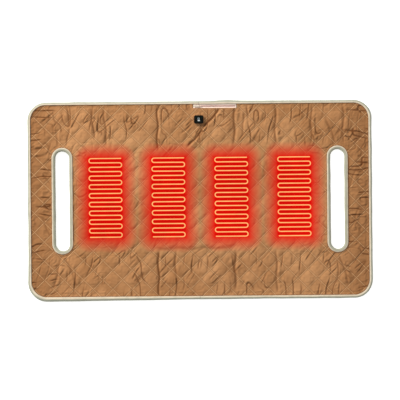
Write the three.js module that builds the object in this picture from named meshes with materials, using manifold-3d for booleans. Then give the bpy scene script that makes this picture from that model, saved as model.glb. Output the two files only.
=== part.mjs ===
// A quilted infrared heating blanket, lying flat with its front cover up.
// +X runs along the length, +Y towards the edge with the controller and the zipped pocket, +Z up.
// The origin is on the floor under the middle. Two fold lines split it into a left wing, a centre
// panel and a right wing. All sizes are in millimetres.

import * as THREE from 'three';
import { mergeVertices } from 'three/addons/utils/BufferGeometryUtils.js';
import Module from 'manifold-3d';

const wasm = await Module();
wasm.setup();

// ---------- Driving dimensions ----------

const CLEARANCE = 0.3; // between two pieces that touch

// Blanket
const BLANKET_LENGTH = 1400;
const BLANKET_WIDTH = 805;
const CORNER_RADIUS = 75;
const FOLD_GAP = 3; // between two panels' covers at a fold line
const FOLD_RELIEF = 8; // wadding and film stop short of the covers there

// Layers, from the floor up
const BACK_COVER = 3;
const BACK_WADDING = 2.5;
const REFLECTIVE_FILM = 0.6;
const HEATER_PAD = 1.4;
const HEATING_WIRE = 1.8;
const FRONT_COVER = 3;

// Edge and slot bindings
const BINDING_WIDTH = 12;
const SLOT_BINDING_WIDTH = 15;
const BINDING_WALL = 1.2;

// Hand slots
const SLOT_FROM_END = 140; // slot's centre line from the blanket's end
const SLOT_LENGTH = 404; // clear
const SLOT_WIDTH = 55; // clear

// Heaters: four serpentine wires on pads, spread evenly between the slots
const FIELD_MARGIN = 5.5; // heater field to a slot's binding
const HEATER_OFFSET_Y = 12; // heaters' middle above the blanket's middle
const HEATER_ROWS = 19;
const ROW_PITCH = 17.8;
const ROW_STRAIGHT = 115; // straight stretch of a row
const WIRE_WIDTH = 4.4;
const PAD_BORDER_X = 2; // pad beyond the thermostat
const PAD_BORDER_Y = 12; // pad beyond the outer rows
const PAD_CORNER = 8;
const THERMOSTAT_LENGTH = 13;
const THERMOSTAT_WIDTH = 8;

// Flat leads
const LEAD_WIDTH = 4;
const BUS_FROM_PAD = 20; // lead across the blanket, above the pads

// Controller
const CONTROLLER_X = -2.5;
const CONTROLLER_FROM_EDGE = 75; // its centre from the blanket's top edge
const CONTROLLER_LENGTH = 37.5; // along X
const CONTROLLER_WIDTH = 33; // along Y
const CONTROLLER_HEIGHT = 8.5; // above the front cover
const CONTROLLER_CORNER = 6;
const CONTROLLER_WALL = 1.6;
const BASE_PLATE = 1.6;
const BACKPLATE = 1.6;
const BACKPLATE_BORDER = 2; // backplate inside the controller's outline
const SEAL = 0.5;
const CIRCUIT_BOARD = 1;
const SWITCH_SIZE = 6;
const SWITCH_HEIGHT = 1.5;
const LED_SIZE = 2;
const LED_HEIGHT = 1;
const SCREW_RADIUS = 1;
const SCREW_HEAD_RADIUS = 2.1;
const SCREW_HEAD = 1.2;
const SCREW_INSET = 4.2; // screw's axis from the controller's sides
const LEAD_HOLE_LENGTH = 14;
const LEAD_HOLE_WIDTH = 5;
const RISER_OFFSET = 4; // each riser's centre from the controller's centre
const RISER_WIDTH = 3;

// Push button
const BUTTON_SIZE = 21;
const BUTTON_CORNER = 5;
const BUTTON_GAP = 0.4; // round the button
const BUTTON_PROUD = 0.5;
const BUTTON_LIP = 1.2; // lip that keeps the button in the housing
const BUTTON_LIP_HEIGHT = 0.8;
const LENS_SIZE = 16.4;
const LENS_CORNER = 4;
const LENS_HEIGHT = 0.6;

// Zip in the pocket's mouth
const ZIP_CENTRE_X = 63.5;
const ZIP_LENGTH = 175;
const ZIP_WIDTH = 17; // between the front cover and the binding
const ZIP_TAPE = 0.6;
const ZIP_TAPE_LAP = 6; // lower tape under the front cover
const ZIP_COIL_WIDTH = 2.6;
const ZIP_COIL_HEIGHT = 1.5;
const ZIP_SLIT = 1.2; // between the two halves
const ZIP_STOP = 3;
const SLIDER_LENGTH = 10;
const SLIDER_WIDTH = 9;
const SLIDER_PLATE = 1.2;
const SLIDER_POST_LENGTH = 5;
const SLIDER_REST_GAP = 0.5; // slider to the left stop
const PIN_RADIUS = 0.5;
const PULL_EYE_RADIUS = 1.4;
const PULL_EYE_WIDTH = 2.4;
const LUG_WALL = 1;
const PULL_LENGTH = 22;
const PULL_WIDTH = 5;
const PULL_THICKNESS = 1;

// Pocket
const POCKET_WALL = 0.6;
const POCKET_DEPTH = 115; // from the blanket's top edge
const POCKET_NECK_DEPTH = 54; // the same, beside the controller
const POCKET_LEFT_FROM_CONTROLLER = 40; // deep part's side, from the controller's centre
const POCKET_SIDE_ROOM = 5; // beyond the zip's ends
const MOUTH_BORDER = 1.5; // zip's ends and sides to the mouth

// Power inlet
const INLET_LENGTH = 13;
const INLET_WIDTH = 10;
const INLET_HEIGHT = 4.2;
const INLET_MOUTH_WIDTH = 8.4;
const INLET_MOUTH_HEIGHT = 2.6;
const INLET_MOUTH_DEPTH = 9;
const INLET_TONGUE = 0.8;
const INLET_LEAD_DROP = 14; // lead's run below the controller's backplate

const ARC_STEPS = 6; // curve divisions of the blanket's corners and slots, doubled on each arc
const SMALL_ARC_STEPS = 2;
const TURN_STEPS = 6; // straight steps in a wire's turn
const ROUND_SIDES = 14;
const OVERRUN = 5; // how far a cutter runs past what it cuts

// ---------- Sizes that follow ----------

const halfLength = BLANKET_LENGTH / 2;
const halfWidth = BLANKET_WIDTH / 2;

// Heights of the layers
const backWaddingZ = BACK_COVER + CLEARANCE;
const filmZ = backWaddingZ + BACK_WADDING + CLEARANCE;
const padZ = filmZ + REFLECTIVE_FILM + CLEARANCE;
const wireZ = padZ + HEATER_PAD + CLEARANCE;
const waddingTopZ = wireZ + HEATING_WIRE;
const frontCoverZ = waddingTopZ + CLEARANCE;
const topZ = frontCoverZ + FRONT_COVER;

// Hand slots and heaters
const slotX = halfLength - SLOT_FROM_END;
const slotInnerX = slotX - SLOT_WIDTH / 2 - SLOT_BINDING_WIDTH;
const heaterPitch = (slotInnerX - FIELD_MARGIN) / 2;
const foldX = heaterPitch; // midway between the outer and the inner heaters
const rowsHalf = ((HEATER_ROWS - 1) * ROW_PITCH) / 2;
const wireHalf = ROW_STRAIGHT / 2 + ROW_PITCH / 2;
const padHalfX = wireHalf + CLEARANCE + THERMOSTAT_LENGTH + PAD_BORDER_X;
const padHalfY = rowsHalf + PAD_BORDER_Y;
const dropOffset = wireHalf + CLEARANCE + THERMOSTAT_LENGTH / 2;
const busY = HEATER_OFFSET_Y + padHalfY + BUS_FROM_PAD;
const topRowY = HEATER_OFFSET_Y + rowsHalf;
const lastRowY = HEATER_OFFSET_Y - rowsHalf;

// Controller
const controllerY = halfWidth - CONTROLLER_FROM_EDGE;
const baseZ = topZ + CLEARANCE;
const sealZ = baseZ + BASE_PLATE + CLEARANCE;
const housingZ = sealZ + SEAL + CLEARANCE;
const housingTopZ = topZ + CONTROLLER_HEIGHT;
const boardZ = baseZ + BASE_PLATE + CLEARANCE;
const onBoardZ = boardZ + CIRCUIT_BOARD + CLEARANCE;
const buttonLipTopZ = housingTopZ - CONTROLLER_WALL - CLEARANCE;
const backplateZ = waddingTopZ - BACKPLATE;
const backplateHalfX = CONTROLLER_LENGTH / 2 - BACKPLATE_BORDER;
const backplateHalfY = CONTROLLER_WIDTH / 2 - BACKPLATE_BORDER;
const inletLeadY = controllerY - backplateHalfY - INLET_LEAD_DROP;

// Zip, pocket and inlet
const bindingInnerY = halfWidth - BINDING_WIDTH;
const notchY = bindingInnerY - ZIP_WIDTH;
const zipY = (bindingInnerY + notchY) / 2;
const zipLeft = ZIP_CENTRE_X - ZIP_LENGTH / 2;
const zipRight = ZIP_CENTRE_X + ZIP_LENGTH / 2;
const tapeZ = frontCoverZ - CLEARANCE - ZIP_TAPE;
const coilZ = tapeZ + ZIP_TAPE + CLEARANCE;
const sliderX = zipLeft + ZIP_STOP + SLIDER_REST_GAP;
const sliderTopZ = coilZ + ZIP_COIL_HEIGHT + CLEARANCE;
const sliderBottomZ = tapeZ - CLEARANCE - SLIDER_PLATE;
const pinZ = Math.max(sliderTopZ + SLIDER_PLATE, topZ) + CLEARANCE + PULL_EYE_RADIUS;
const pocketZ = BACK_COVER + CLEARANCE;
const pocketTopZ = tapeZ - CLEARANCE;
const pocketLeft = zipLeft - POCKET_SIDE_ROOM;
const pocketRight = zipRight + POCKET_SIDE_ROOM;
const pocketDeepLeft = CONTROLLER_X + POCKET_LEFT_FROM_CONTROLLER;
const pocketTopY = halfWidth - BINDING_WALL - CLEARANCE;
const inletX = pocketDeepLeft + POCKET_WALL - INLET_LENGTH;
const inletZ = pocketZ + POCKET_WALL + CLEARANCE;

// ---------- Shapes ----------

function rectShape(x0, y0, x1, y1, radius = 0) {
  const shape = new THREE.Shape();
  if (radius === 0) {
    return shape.moveTo(x0, y0).lineTo(x1, y0).lineTo(x1, y1).lineTo(x0, y1).closePath();
  }
  shape.moveTo(x0 + radius, y0).lineTo(x1 - radius, y0);
  shape.absarc(x1 - radius, y0 + radius, radius, -Math.PI / 2, 0);
  shape.absarc(x1 - radius, y1 - radius, radius, 0, Math.PI / 2);
  shape.absarc(x0 + radius, y1 - radius, radius, Math.PI / 2, Math.PI);
  shape.absarc(x0 + radius, y0 + radius, radius, Math.PI, 1.5 * Math.PI);
  return shape.closePath();
}

// A rounded rectangle round a centre.
function centredShape(x, y, sizeX, sizeY, radius = 0) {
  return rectShape(x - sizeX / 2, y - sizeY / 2, x + sizeX / 2, y + sizeY / 2, radius);
}

// A slot with round ends, long along Y.
function slotShape(x, width, length) {
  const radius = width / 2;
  const straight = length / 2 - radius;
  const shape = new THREE.Shape();
  shape.moveTo(x + radius, -straight).lineTo(x + radius, straight);
  shape.absarc(x, straight, radius, 0, Math.PI);
  shape.lineTo(x - radius, -straight);
  shape.absarc(x, -straight, radius, Math.PI, 2 * Math.PI);
  return shape.closePath();
}

// A wing's outline, inset from the blanket's edge. side is -1 on the left and 1 on the right.
function wingShape(side, inset, foldEdge) {
  const radius = CORNER_RADIUS - inset;
  const x = halfLength - inset;
  const y = halfWidth - inset;
  const shape = new THREE.Shape();
  shape.moveTo(side * foldEdge, -y).lineTo(side * (x - radius), -y);
  if (side > 0) {
    shape.absarc(x - radius, -y + radius, radius, -Math.PI / 2, 0);
    shape.absarc(x - radius, y - radius, radius, 0, Math.PI / 2);
  } else {
    shape.absarc(radius - x, -y + radius, radius, 1.5 * Math.PI, Math.PI, true);
    shape.absarc(radius - x, y - radius, radius, Math.PI, Math.PI / 2, true);
  }
  return shape.lineTo(side * foldEdge, y).closePath();
}

// A panel's outline. past moves its fold edges outwards, for a cutter, or inwards below zero.
function panelShape(side, inset, past = 0) {
  const y = halfWidth - inset;
  if (side === 0) {
    const x = foldX - FOLD_GAP / 2 + past;
    return rectShape(-x, -y, x, y);
  }
  return wingShape(side, inset, foldX + FOLD_GAP / 2 - past);
}

// The outline of a flat strip of one width along a line of points.
function ribbonShape(points, width) {
  const near = [];
  const far = [];
  points.forEach((point, i) => {
    const before = points[Math.max(i - 1, 0)];
    const after = points[Math.min(i + 1, points.length - 1)];
    const into = i > 0 ? point.clone().sub(before).normalize() : null;
    const out = i < points.length - 1 ? after.clone().sub(point).normalize() : into;
    const side = (into ?? out).clone().rotateAround(new THREE.Vector2(), Math.PI / 2);
    const outSide = out.clone().rotateAround(new THREE.Vector2(), Math.PI / 2);
    const mitre = side.clone().add(outSide).normalize();
    mitre.multiplyScalar(width / 2 / mitre.dot(side));
    near.push(point.clone().sub(mitre));
    far.unshift(point.clone().add(mitre));
  });
  return new THREE.Shape([...near, ...far]);
}

function prism(shape, z0, z1, steps = SMALL_ARC_STEPS) {
  const options = { depth: z1 - z0, bevelEnabled: false, curveSegments: steps };
  return new THREE.ExtrudeGeometry(shape, options).translate(0, 0, z0);
}

function block(x0, y0, z0, x1, y1, z1) {
  const geometry = new THREE.BoxGeometry(x1 - x0, y1 - y0, z1 - z0);
  return geometry.translate((x0 + x1) / 2, (y0 + y1) / 2, (z0 + z1) / 2);
}

// A round bar along Y or Z from one end to the other.
function bar(axis, x, y, z, radius, from, to) {
  const geometry = new THREE.CylinderGeometry(radius, radius, to - from, ROUND_SIDES);
  if (axis === 'y') return geometry.translate(x, (from + to) / 2, z);
  return geometry.rotateX(Math.PI / 2).translate(x, y, (from + to) / 2);
}

// ---------- Solids ----------

function toSolid(geometry) {
  const bare = geometry.clone();
  bare.deleteAttribute('normal');
  bare.deleteAttribute('uv');
  const merged = mergeVertices(bare, 1e-4);
  return new wasm.Manifold(new wasm.Mesh({
    numProp: 3,
    vertProperties: new Float32Array(merged.attributes.position.array),
    triVerts: new Uint32Array(merged.index.array),
  }));
}

function toGeometry(solid) {
  const mesh = solid.getMesh();
  const geometry = new THREE.BufferGeometry();
  geometry.setAttribute('position', new THREE.BufferAttribute(mesh.vertProperties, 3));
  geometry.setIndex(new THREE.BufferAttribute(mesh.triVerts, 1));
  return geometry;
}

function join(geometries) {
  return toGeometry(geometries.map(toSolid).reduce((sum, next) => sum.add(next)));
}

function cut(geometry, tools) {
  const start = toSolid(geometry);
  return toGeometry(tools.map(toSolid).reduce((rest, tool) => rest.subtract(tool), start));
}

// ---------- Materials ----------

function finish(color, roughness, metalness = 0) {
  return { color, roughness, metalness };
}

const finishes = {
  cover: finish(0xb17e52, 0.55),
  binding: finish(0xc3bea7, 0.75),
  wadding: finish(0xf1efe9, 0.95),
  film: finish(0xc9ccd0, 0.25, 0.9),
  pad: finish(0xe9e2d2, 0.9),
  wire: finish(0xe23a1c, 0.5),
  lead: finish(0x2b2a2a, 0.6),
  thermostat: finish(0xd9d6cc, 0.5),
  lining: finish(0x8f6442, 0.7),
  housing: finish(0x141210, 0.45),
  lens: finish(0xaab0ae, 0.3),
  seal: finish(0x2a2a2a, 0.85),
  board: finish(0x1f5b34, 0.5),
  steel: finish(0xb7bbc0, 0.3, 1),
  tape: finish(0xe5ccb4, 0.8),
  coil: finish(0xf2dcc2, 0.4),
  zinc: finish(0xe9dcc0, 0.35, 0.8),
  led: finish(0xf4efe6, 0.25),
};

const blanket = new THREE.Group();

function addPiece(name, geometry, finishName) {
  const mesh = new THREE.Mesh(geometry, new THREE.MeshStandardMaterial(finishes[finishName]));
  mesh.name = name;
  blanket.add(mesh);
}

// ---------- Covers, wadding and film ----------

// A hand slot's cutter, outset from the clear opening. The centre panel has none.
function slotCutters(side, outset, z0, z1) {
  if (side === 0) return [];
  const shape = slotShape(side * slotX, SLOT_WIDTH + 2 * outset, SLOT_LENGTH + 2 * outset);
  return [prism(shape, z0, z1, ARC_STEPS)];
}

// One flat layer that runs into the bindings.
function innerLayer(side, z0, z1, past = -FOLD_RELIEF) {
  const inset = BINDING_WALL + CLEARANCE;
  const sheet = prism(panelShape(side, inset, past), z0, z1, ARC_STEPS);
  return cut(sheet, slotCutters(side, inset, z0 - OVERRUN, z1 + OVERRUN));
}

// A cover whose edges are pressed thin where the bindings' lips hold them.
function cover(side, z0, z1, lipZ0, lipZ1) {
  const lip = BINDING_WIDTH + CLEARANCE;
  const slotLip = SLOT_BINDING_WIDTH + CLEARANCE;
  const outside = prism(panelShape(side, -OVERRUN, OVERRUN), lipZ0, lipZ1, ARC_STEPS);
  const inside = prism(panelShape(side, lip, 2 * OVERRUN), lipZ0 - 1, lipZ1 + 1, ARC_STEPS);
  const edgeStep = cut(outside, [inside]);
  const slotSteps = slotCutters(side, slotLip, lipZ0, lipZ1);
  return cut(innerLayer(side, z0, z1, 0), [edgeStep, ...slotSteps]);
}

function backCover(side) {
  return cover(side, 0, BACK_COVER, -1, BINDING_WALL + CLEARANCE);
}

function frontCover(side) {
  return cover(side, frontCoverZ, topZ, topZ - BINDING_WALL - CLEARANCE, topZ + 1);
}

// The space that the pocket and the inlet take in the layers between the covers.
function pocketSpace(z0, z1) {
  const room = CLEARANCE;
  const neckY = halfWidth - POCKET_NECK_DEPTH;
  const deepY = halfWidth - POCKET_DEPTH;
  const outside = halfWidth + OVERRUN;
  return [
    block(pocketLeft - room, neckY - room, z0, pocketRight + room, outside, z1),
    block(pocketDeepLeft - room, deepY - room, z0, pocketRight + room, outside, z1),
    block(
      inletX - LEAD_WIDTH - 2 * room, inletLeadY - INLET_WIDTH / 2 - room, z0,
      pocketDeepLeft + room, inletLeadY + INLET_WIDTH / 2 + room, z1,
    ),
  ];
}

function controllerWindow(z0, z1) {
  const sizeX = 2 * (backplateHalfX + CLEARANCE);
  const sizeY = 2 * (backplateHalfY + CLEARANCE);
  return prism(centredShape(CONTROLLER_X, controllerY, sizeX, sizeY), z0, z1);
}

function screwPlaces() {
  const x = CONTROLLER_LENGTH / 2 - SCREW_INSET;
  const y = CONTROLLER_WIDTH / 2 - SCREW_INSET;
  return [[-x, -y], [x, -y], [x, y], [-x, y]].map(([dx, dy]) => [CONTROLLER_X + dx, controllerY + dy]);
}

function screwHoles(z0, z1) {
  const radius = SCREW_RADIUS + CLEARANCE;
  return screwPlaces().map(([x, y]) => bar('z', x, y, 0, radius, z0, z1));
}

function leadHole(z0, z1) {
  return prism(centredShape(CONTROLLER_X, controllerY, LEAD_HOLE_LENGTH, LEAD_HOLE_WIDTH), z0, z1);
}

function frontCoverCuts() {
  const z0 = frontCoverZ - OVERRUN;
  const z1 = topZ + OVERRUN;
  const notch = block(
    zipLeft - CLEARANCE, notchY, z0, zipRight + CLEARANCE, halfWidth + OVERRUN, z1,
  );
  return [notch, leadHole(z0, z1), ...screwHoles(z0, z1)];
}

// ---------- Heaters and leads ----------

function heaterX(number) {
  return (number - 2.5) * heaterPitch;
}

// The centre line of a serpentine wire, from its right-hand free end at the top row.
function serpentine(x) {
  const straight = ROW_STRAIGHT / 2;
  const radius = ROW_PITCH / 2;
  const points = [new THREE.Vector2(x + wireHalf, topRowY)];
  for (let row = 0; row < HEATER_ROWS - 1; row += 1) {
    const y = topRowY - row * ROW_PITCH;
    const side = row % 2 === 0 ? -1 : 1;
    for (let step = 0; step <= TURN_STEPS; step += 1) {
      const angle = Math.PI / 2 - (Math.PI * step) / TURN_STEPS;
      const dx = side * (straight + radius * Math.cos(angle));
      points.push(new THREE.Vector2(x + dx, y - radius + radius * Math.sin(angle)));
    }
  }
  points.push(new THREE.Vector2(x - wireHalf, lastRowY));
  return points;
}

function padShape(number, outset) {
  const sizeX = 2 * (padHalfX + outset);
  const sizeY = 2 * (padHalfY + outset);
  return centredShape(heaterX(number), HEATER_OFFSET_Y, sizeX, sizeY, PAD_CORNER + outset);
}

function vectors(pairs) {
  return pairs.map(([x, y]) => new THREE.Vector2(x, y));
}

// A heater's two leads: the supply ends at the thermostat, the return at the last row's end.
function heaterDrops(number) {
  const x = heaterX(number);
  const supplyEnd = topRowY + THERMOSTAT_WIDTH / 2 + CLEARANCE;
  const returnX = x - dropOffset;
  return [
    vectors([[x + dropOffset, busY], [x + dropOffset, supplyEnd]]),
    vectors([[returnX, busY], [returnX, lastRowY], [x - wireHalf - CLEARANCE, lastRowY]]),
  ];
}

function centreLeadLines() {
  const edge = foldX - FOLD_GAP / 2;
  const stemX = CONTROLLER_X - RISER_OFFSET;
  return [
    vectors([[-edge, busY], [edge, busY]]),
    vectors([[stemX, controllerY - RISER_WIDTH / 2], [stemX, busY]]),
    ...heaterDrops(2),
    ...heaterDrops(3),
  ];
}

function wingLeadLines(side) {
  const number = side < 0 ? 1 : 4;
  const edge = side * (foldX + FOLD_GAP / 2);
  const lastDrop = heaterX(number) + side * dropOffset;
  return [
    vectors([[edge, busY], [lastDrop + (side * LEAD_WIDTH) / 2, busY]]),
    ...heaterDrops(number),
  ];
}

function inletLeadLine() {
  const x = CONTROLLER_X + RISER_OFFSET;
  const end = inletX - CLEARANCE;
  return vectors([[x, controllerY - RISER_WIDTH / 2], [x, inletLeadY], [end, inletLeadY]]);
}

function leadLines(side) {
  return side === 0 ? centreLeadLines() : wingLeadLines(side);
}

function leads(lines) {
  return lines.map((line) => prism(ribbonShape(line, LEAD_WIDTH), wireZ, waddingTopZ));
}

function grooves(lines) {
  const width = LEAD_WIDTH + 2 * CLEARANCE;
  return lines.map((line) => prism(ribbonShape(line, width), wireZ - CLEARANCE, topZ));
}

// The lead's upright stretch, through the covers to the circuit board.
function riser(x) {
  const half = LEAD_WIDTH / 2;
  const y = controllerY - RISER_WIDTH / 2;
  return block(x - half, y, wireZ, x + half, y + RISER_WIDTH, boardZ - CLEARANCE);
}

function inletLead() {
  const end = inletX - CLEARANCE;
  const half = LEAD_WIDTH / 2;
  const down = block(
    end - LEAD_WIDTH, inletLeadY - half, inletZ + INLET_HEIGHT / 3,
    end, inletLeadY + half, waddingTopZ,
  );
  return join([...leads([inletLeadLine()]), down, riser(CONTROLLER_X + RISER_OFFSET)]);
}

function addHeater(number) {
  const x = heaterX(number);
  const wire = prism(ribbonShape(serpentine(x), WIRE_WIDTH), wireZ, waddingTopZ);
  const left = x + wireHalf + CLEARANCE;
  const half = THERMOSTAT_WIDTH / 2;
  const thermostat = prism(
    rectShape(left, topRowY - half, left + THERMOSTAT_LENGTH, topRowY + half, half / 2),
    wireZ, waddingTopZ,
  );
  addPiece(`heater_pad_${number}`, prism(padShape(number, 0), padZ, padZ + HEATER_PAD), 'pad');
  addPiece(`heating_wire_${number}`, wire, 'wire');
  addPiece(`thermostat_${number}`, thermostat, 'thermostat');
}

function frontWadding(side, heaters) {
  const z0 = padZ - OVERRUN;
  const z1 = waddingTopZ + OVERRUN;
  const windows = heaters.map((number) => prism(padShape(number, CLEARANCE), z0, z1));
  const tools = [...windows, ...grooves(leadLines(side))];
  if (side === 0) {
    tools.push(...pocketSpace(z0, z1), controllerWindow(z0, z1), ...grooves([inletLeadLine()]));
  }
  return cut(innerLayer(side, padZ, waddingTopZ), tools);
}

// ---------- Bindings ----------

// A folded tape round the blanket's edge, open inwards so that it holds the covers.
function edgeBinding(side) {
  const whole = prism(panelShape(side, 0), 0, topZ, ARC_STEPS);
  const middle = prism(panelShape(side, BINDING_WIDTH, OVERRUN), -OVERRUN, topZ + OVERRUN, ARC_STEPS);
  const groove = prism(
    panelShape(side, BINDING_WALL, OVERRUN), BINDING_WALL, topZ - BINDING_WALL, ARC_STEPS,
  );
  return cut(whole, [middle, groove]);
}

// The centre panel's binding is two strips, so each is cut from a box over its own edge.
function straightBinding(side) {
  const x = foldX - FOLD_GAP / 2;
  const [outer, inner] = [halfWidth, halfWidth - BINDING_WIDTH].map((y) => side * y);
  const wall = side * (halfWidth - BINDING_WALL);
  const past = inner - side * OVERRUN;
  const whole = block(-x, Math.min(inner, outer), 0, x, Math.max(inner, outer), topZ);
  const groove = block(
    -x - OVERRUN, Math.min(past, wall), BINDING_WALL,
    x + OVERRUN, Math.max(past, wall), topZ - BINDING_WALL,
  );
  return cut(whole, [groove]);
}

function slotBinding(side) {
  const z1 = topZ + OVERRUN;
  const [whole] = slotCutters(side, SLOT_BINDING_WIDTH, 0, topZ);
  const opening = slotCutters(side, 0, -OVERRUN, z1);
  const [far] = slotCutters(side, SLOT_BINDING_WIDTH + OVERRUN, BINDING_WALL, topZ - BINDING_WALL);
  const groove = cut(far, slotCutters(side, BINDING_WALL, -OVERRUN, z1));
  return cut(whole, [...opening, groove]);
}

// ---------- Pocket, zip and inlet ----------

function pocketOutline(inset) {
  const neckY = halfWidth - POCKET_NECK_DEPTH;
  const deepY = halfWidth - POCKET_DEPTH;
  const right = pocketRight - inset;
  const top = pocketTopY - inset;
  return new THREE.Shape(vectors([
    [pocketDeepLeft + inset, deepY + inset], [right, deepY + inset], [right, top],
    [pocketLeft + inset, top], [pocketLeft + inset, neckY + inset],
    [pocketDeepLeft + inset, neckY + inset],
  ]));
}

function pocketLining() {
  const bag = prism(pocketOutline(0), pocketZ, pocketTopZ);
  const inside = prism(pocketOutline(POCKET_WALL), pocketZ + POCKET_WALL, pocketTopZ - POCKET_WALL);
  const mouth = block(
    zipLeft + MOUTH_BORDER, notchY + MOUTH_BORDER, pocketTopZ - 2 * POCKET_WALL,
    zipRight - MOUTH_BORDER, bindingInnerY - MOUTH_BORDER, pocketTopZ + OVERRUN,
  );
  const half = INLET_WIDTH / 2 + CLEARANCE;
  const inletHole = block(
    pocketDeepLeft - OVERRUN, inletLeadY - half, inletZ - CLEARANCE / 2,
    pocketDeepLeft + OVERRUN, inletLeadY + half, inletZ + INLET_HEIGHT + CLEARANCE,
  );
  return cut(bag, [inside, mouth, inletHole]);
}

function inletSocket() {
  const y = inletLeadY;
  const x1 = inletX + INLET_LENGTH;
  const midZ = inletZ + INLET_HEIGHT / 2;
  const across = (width, height, from, to) => block(
    from, y - width / 2, midZ - height / 2, to, y + width / 2, midZ + height / 2,
  );
  const body = across(INLET_WIDTH, INLET_HEIGHT, inletX, x1);
  const mouth = across(
    INLET_MOUTH_WIDTH, INLET_MOUTH_HEIGHT, x1 - INLET_MOUTH_DEPTH, x1 + OVERRUN,
  );
  const tongueEnd = x1 - INLET_MOUTH_DEPTH / 4;
  const tongue = across(
    (INLET_MOUTH_WIDTH * 3) / 4, INLET_TONGUE, x1 - INLET_MOUTH_DEPTH - INLET_TONGUE, tongueEnd,
  );
  return join([cut(body, [mouth]), tongue]);
}

// One half of the zip. side is -1 below the slit and 1 above it.
function zipTape(side) {
  const inner = zipY + (side * ZIP_SLIT) / 2;
  const outer = side < 0 ? notchY - ZIP_TAPE_LAP : halfWidth - BINDING_WALL - CLEARANCE;
  const [y0, y1] = [inner, outer].sort((a, b) => a - b);
  return block(zipLeft, y0, tapeZ, zipRight, y1, tapeZ + ZIP_TAPE);
}

function zipCoil(side) {
  const inner = zipY + (side * ZIP_SLIT) / 2;
  const outer = inner + side * ZIP_COIL_WIDTH;
  const [y0, y1] = [inner, outer].sort((a, b) => a - b);
  const end = ZIP_STOP + CLEARANCE;
  return block(zipLeft + end, y0, coilZ, zipRight - end, y1, coilZ + ZIP_COIL_HEIGHT);
}

function zipStop(x) {
  const half = ZIP_COIL_WIDTH + ZIP_SLIT / 2;
  return block(x, zipY - half, coilZ, x + ZIP_STOP, zipY + half, coilZ + ZIP_COIL_HEIGHT);
}

// Two plates on a post that runs in the slit, with two lugs and a pin for the pull.
function zipSlider() {
  const x1 = sliderX + SLIDER_LENGTH;
  const half = SLIDER_WIDTH / 2;
  const middle = (sliderX + x1) / 2;
  const plate = (z) => prism(
    rectShape(sliderX, zipY - half, x1, zipY + half, half / 2), z, z + SLIDER_PLATE,
  );
  const postHalf = ZIP_SLIT / 2 - CLEARANCE;
  const post = block(
    middle - SLIDER_POST_LENGTH / 2, zipY - postHalf, sliderBottomZ + SLIDER_PLATE / 2,
    middle + SLIDER_POST_LENGTH / 2, zipY + postHalf, sliderTopZ + SLIDER_PLATE / 2,
  );
  const lugInner = PULL_EYE_WIDTH / 2 + CLEARANCE;
  const lugOuter = lugInner + LUG_WALL;
  const lugs = [-1, 1].map((side) => {
    const [y0, y1] = [zipY + side * lugInner, zipY + side * lugOuter].sort((a, b) => a - b);
    return block(
      middle - PULL_EYE_RADIUS, y0, sliderTopZ + SLIDER_PLATE / 2,
      middle + PULL_EYE_RADIUS, y1, pinZ + PULL_EYE_RADIUS,
    );
  });
  const pin = bar('y', middle, 0, pinZ, PIN_RADIUS, zipY - lugOuter, zipY + lugOuter);
  return join([plate(sliderBottomZ), plate(sliderTopZ), post, ...lugs, pin]);
}

function zipPull() {
  const x = sliderX + SLIDER_LENGTH / 2;
  const eyeHalf = PULL_EYE_WIDTH / 2;
  const eye = bar('y', x, 0, pinZ, PULL_EYE_RADIUS, zipY - eyeHalf, zipY + eyeHalf);
  const neckEnd = x + PULL_EYE_RADIUS + 2 * CLEARANCE + PULL_EYE_RADIUS;
  const low = pinZ - PULL_THICKNESS / 2;
  const neck = block(x, zipY - eyeHalf, low, neckEnd, zipY + eyeHalf, low + PULL_THICKNESS);
  const half = PULL_WIDTH / 2;
  const tab = prism(
    rectShape(neckEnd - half / 2, zipY - half, x + PULL_LENGTH, zipY + half, half / 2),
    low, low + PULL_THICKNESS,
  );
  const hole = bar('y', x, 0, pinZ, PIN_RADIUS + CLEARANCE, zipY - half, zipY + half);
  return cut(join([eye, neck, tab]), [hole]);
}

// ---------- Controller ----------

function controllerShape(inset) {
  const radius = Math.max(CONTROLLER_CORNER - inset, 1);
  return centredShape(
    CONTROLLER_X, controllerY,
    CONTROLLER_LENGTH - 2 * inset, CONTROLLER_WIDTH - 2 * inset, radius,
  );
}

function buttonShape(outset) {
  const size = BUTTON_SIZE + 2 * outset;
  return centredShape(CONTROLLER_X, controllerY, size, size, BUTTON_CORNER + outset);
}

function controllerBase() {
  const base = prism(controllerShape(0), baseZ, baseZ + BASE_PLATE);
  const z0 = baseZ - OVERRUN;
  const z1 = baseZ + BASE_PLATE + OVERRUN;
  return cut(base, [leadHole(z0, z1), ...screwHoles(z0, z1)]);
}

// The plate under the front cover, notched for the leads that run to it from below.
function controllerBackplate() {
  const border = BACKPLATE_BORDER;
  const plate = prism(controllerShape(border), backplateZ, backplateZ + BACKPLATE);
  const half = LEAD_HOLE_LENGTH / 2;
  const notch = block(
    CONTROLLER_X - half, controllerY - CONTROLLER_WIDTH, backplateZ - 1,
    CONTROLLER_X + half, controllerY + LEAD_HOLE_WIDTH / 2, topZ,
  );
  return cut(plate, [notch, ...screwHoles(backplateZ - 1, topZ)]);
}

function controllerSeal() {
  const z1 = sealZ + SEAL;
  const inner = prism(controllerShape(CONTROLLER_WALL), sealZ - 1, z1 + 1);
  return cut(prism(controllerShape(CLEARANCE), sealZ, z1), [inner]);
}

function controllerHousing() {
  const shell = prism(controllerShape(0), housingZ, housingTopZ);
  const inside = prism(
    controllerShape(CONTROLLER_WALL), housingZ - 1, housingTopZ - CONTROLLER_WALL,
  );
  const opening = prism(buttonShape(BUTTON_GAP), housingZ, housingTopZ + OVERRUN);
  return cut(shell, [inside, opening]);
}

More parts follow.
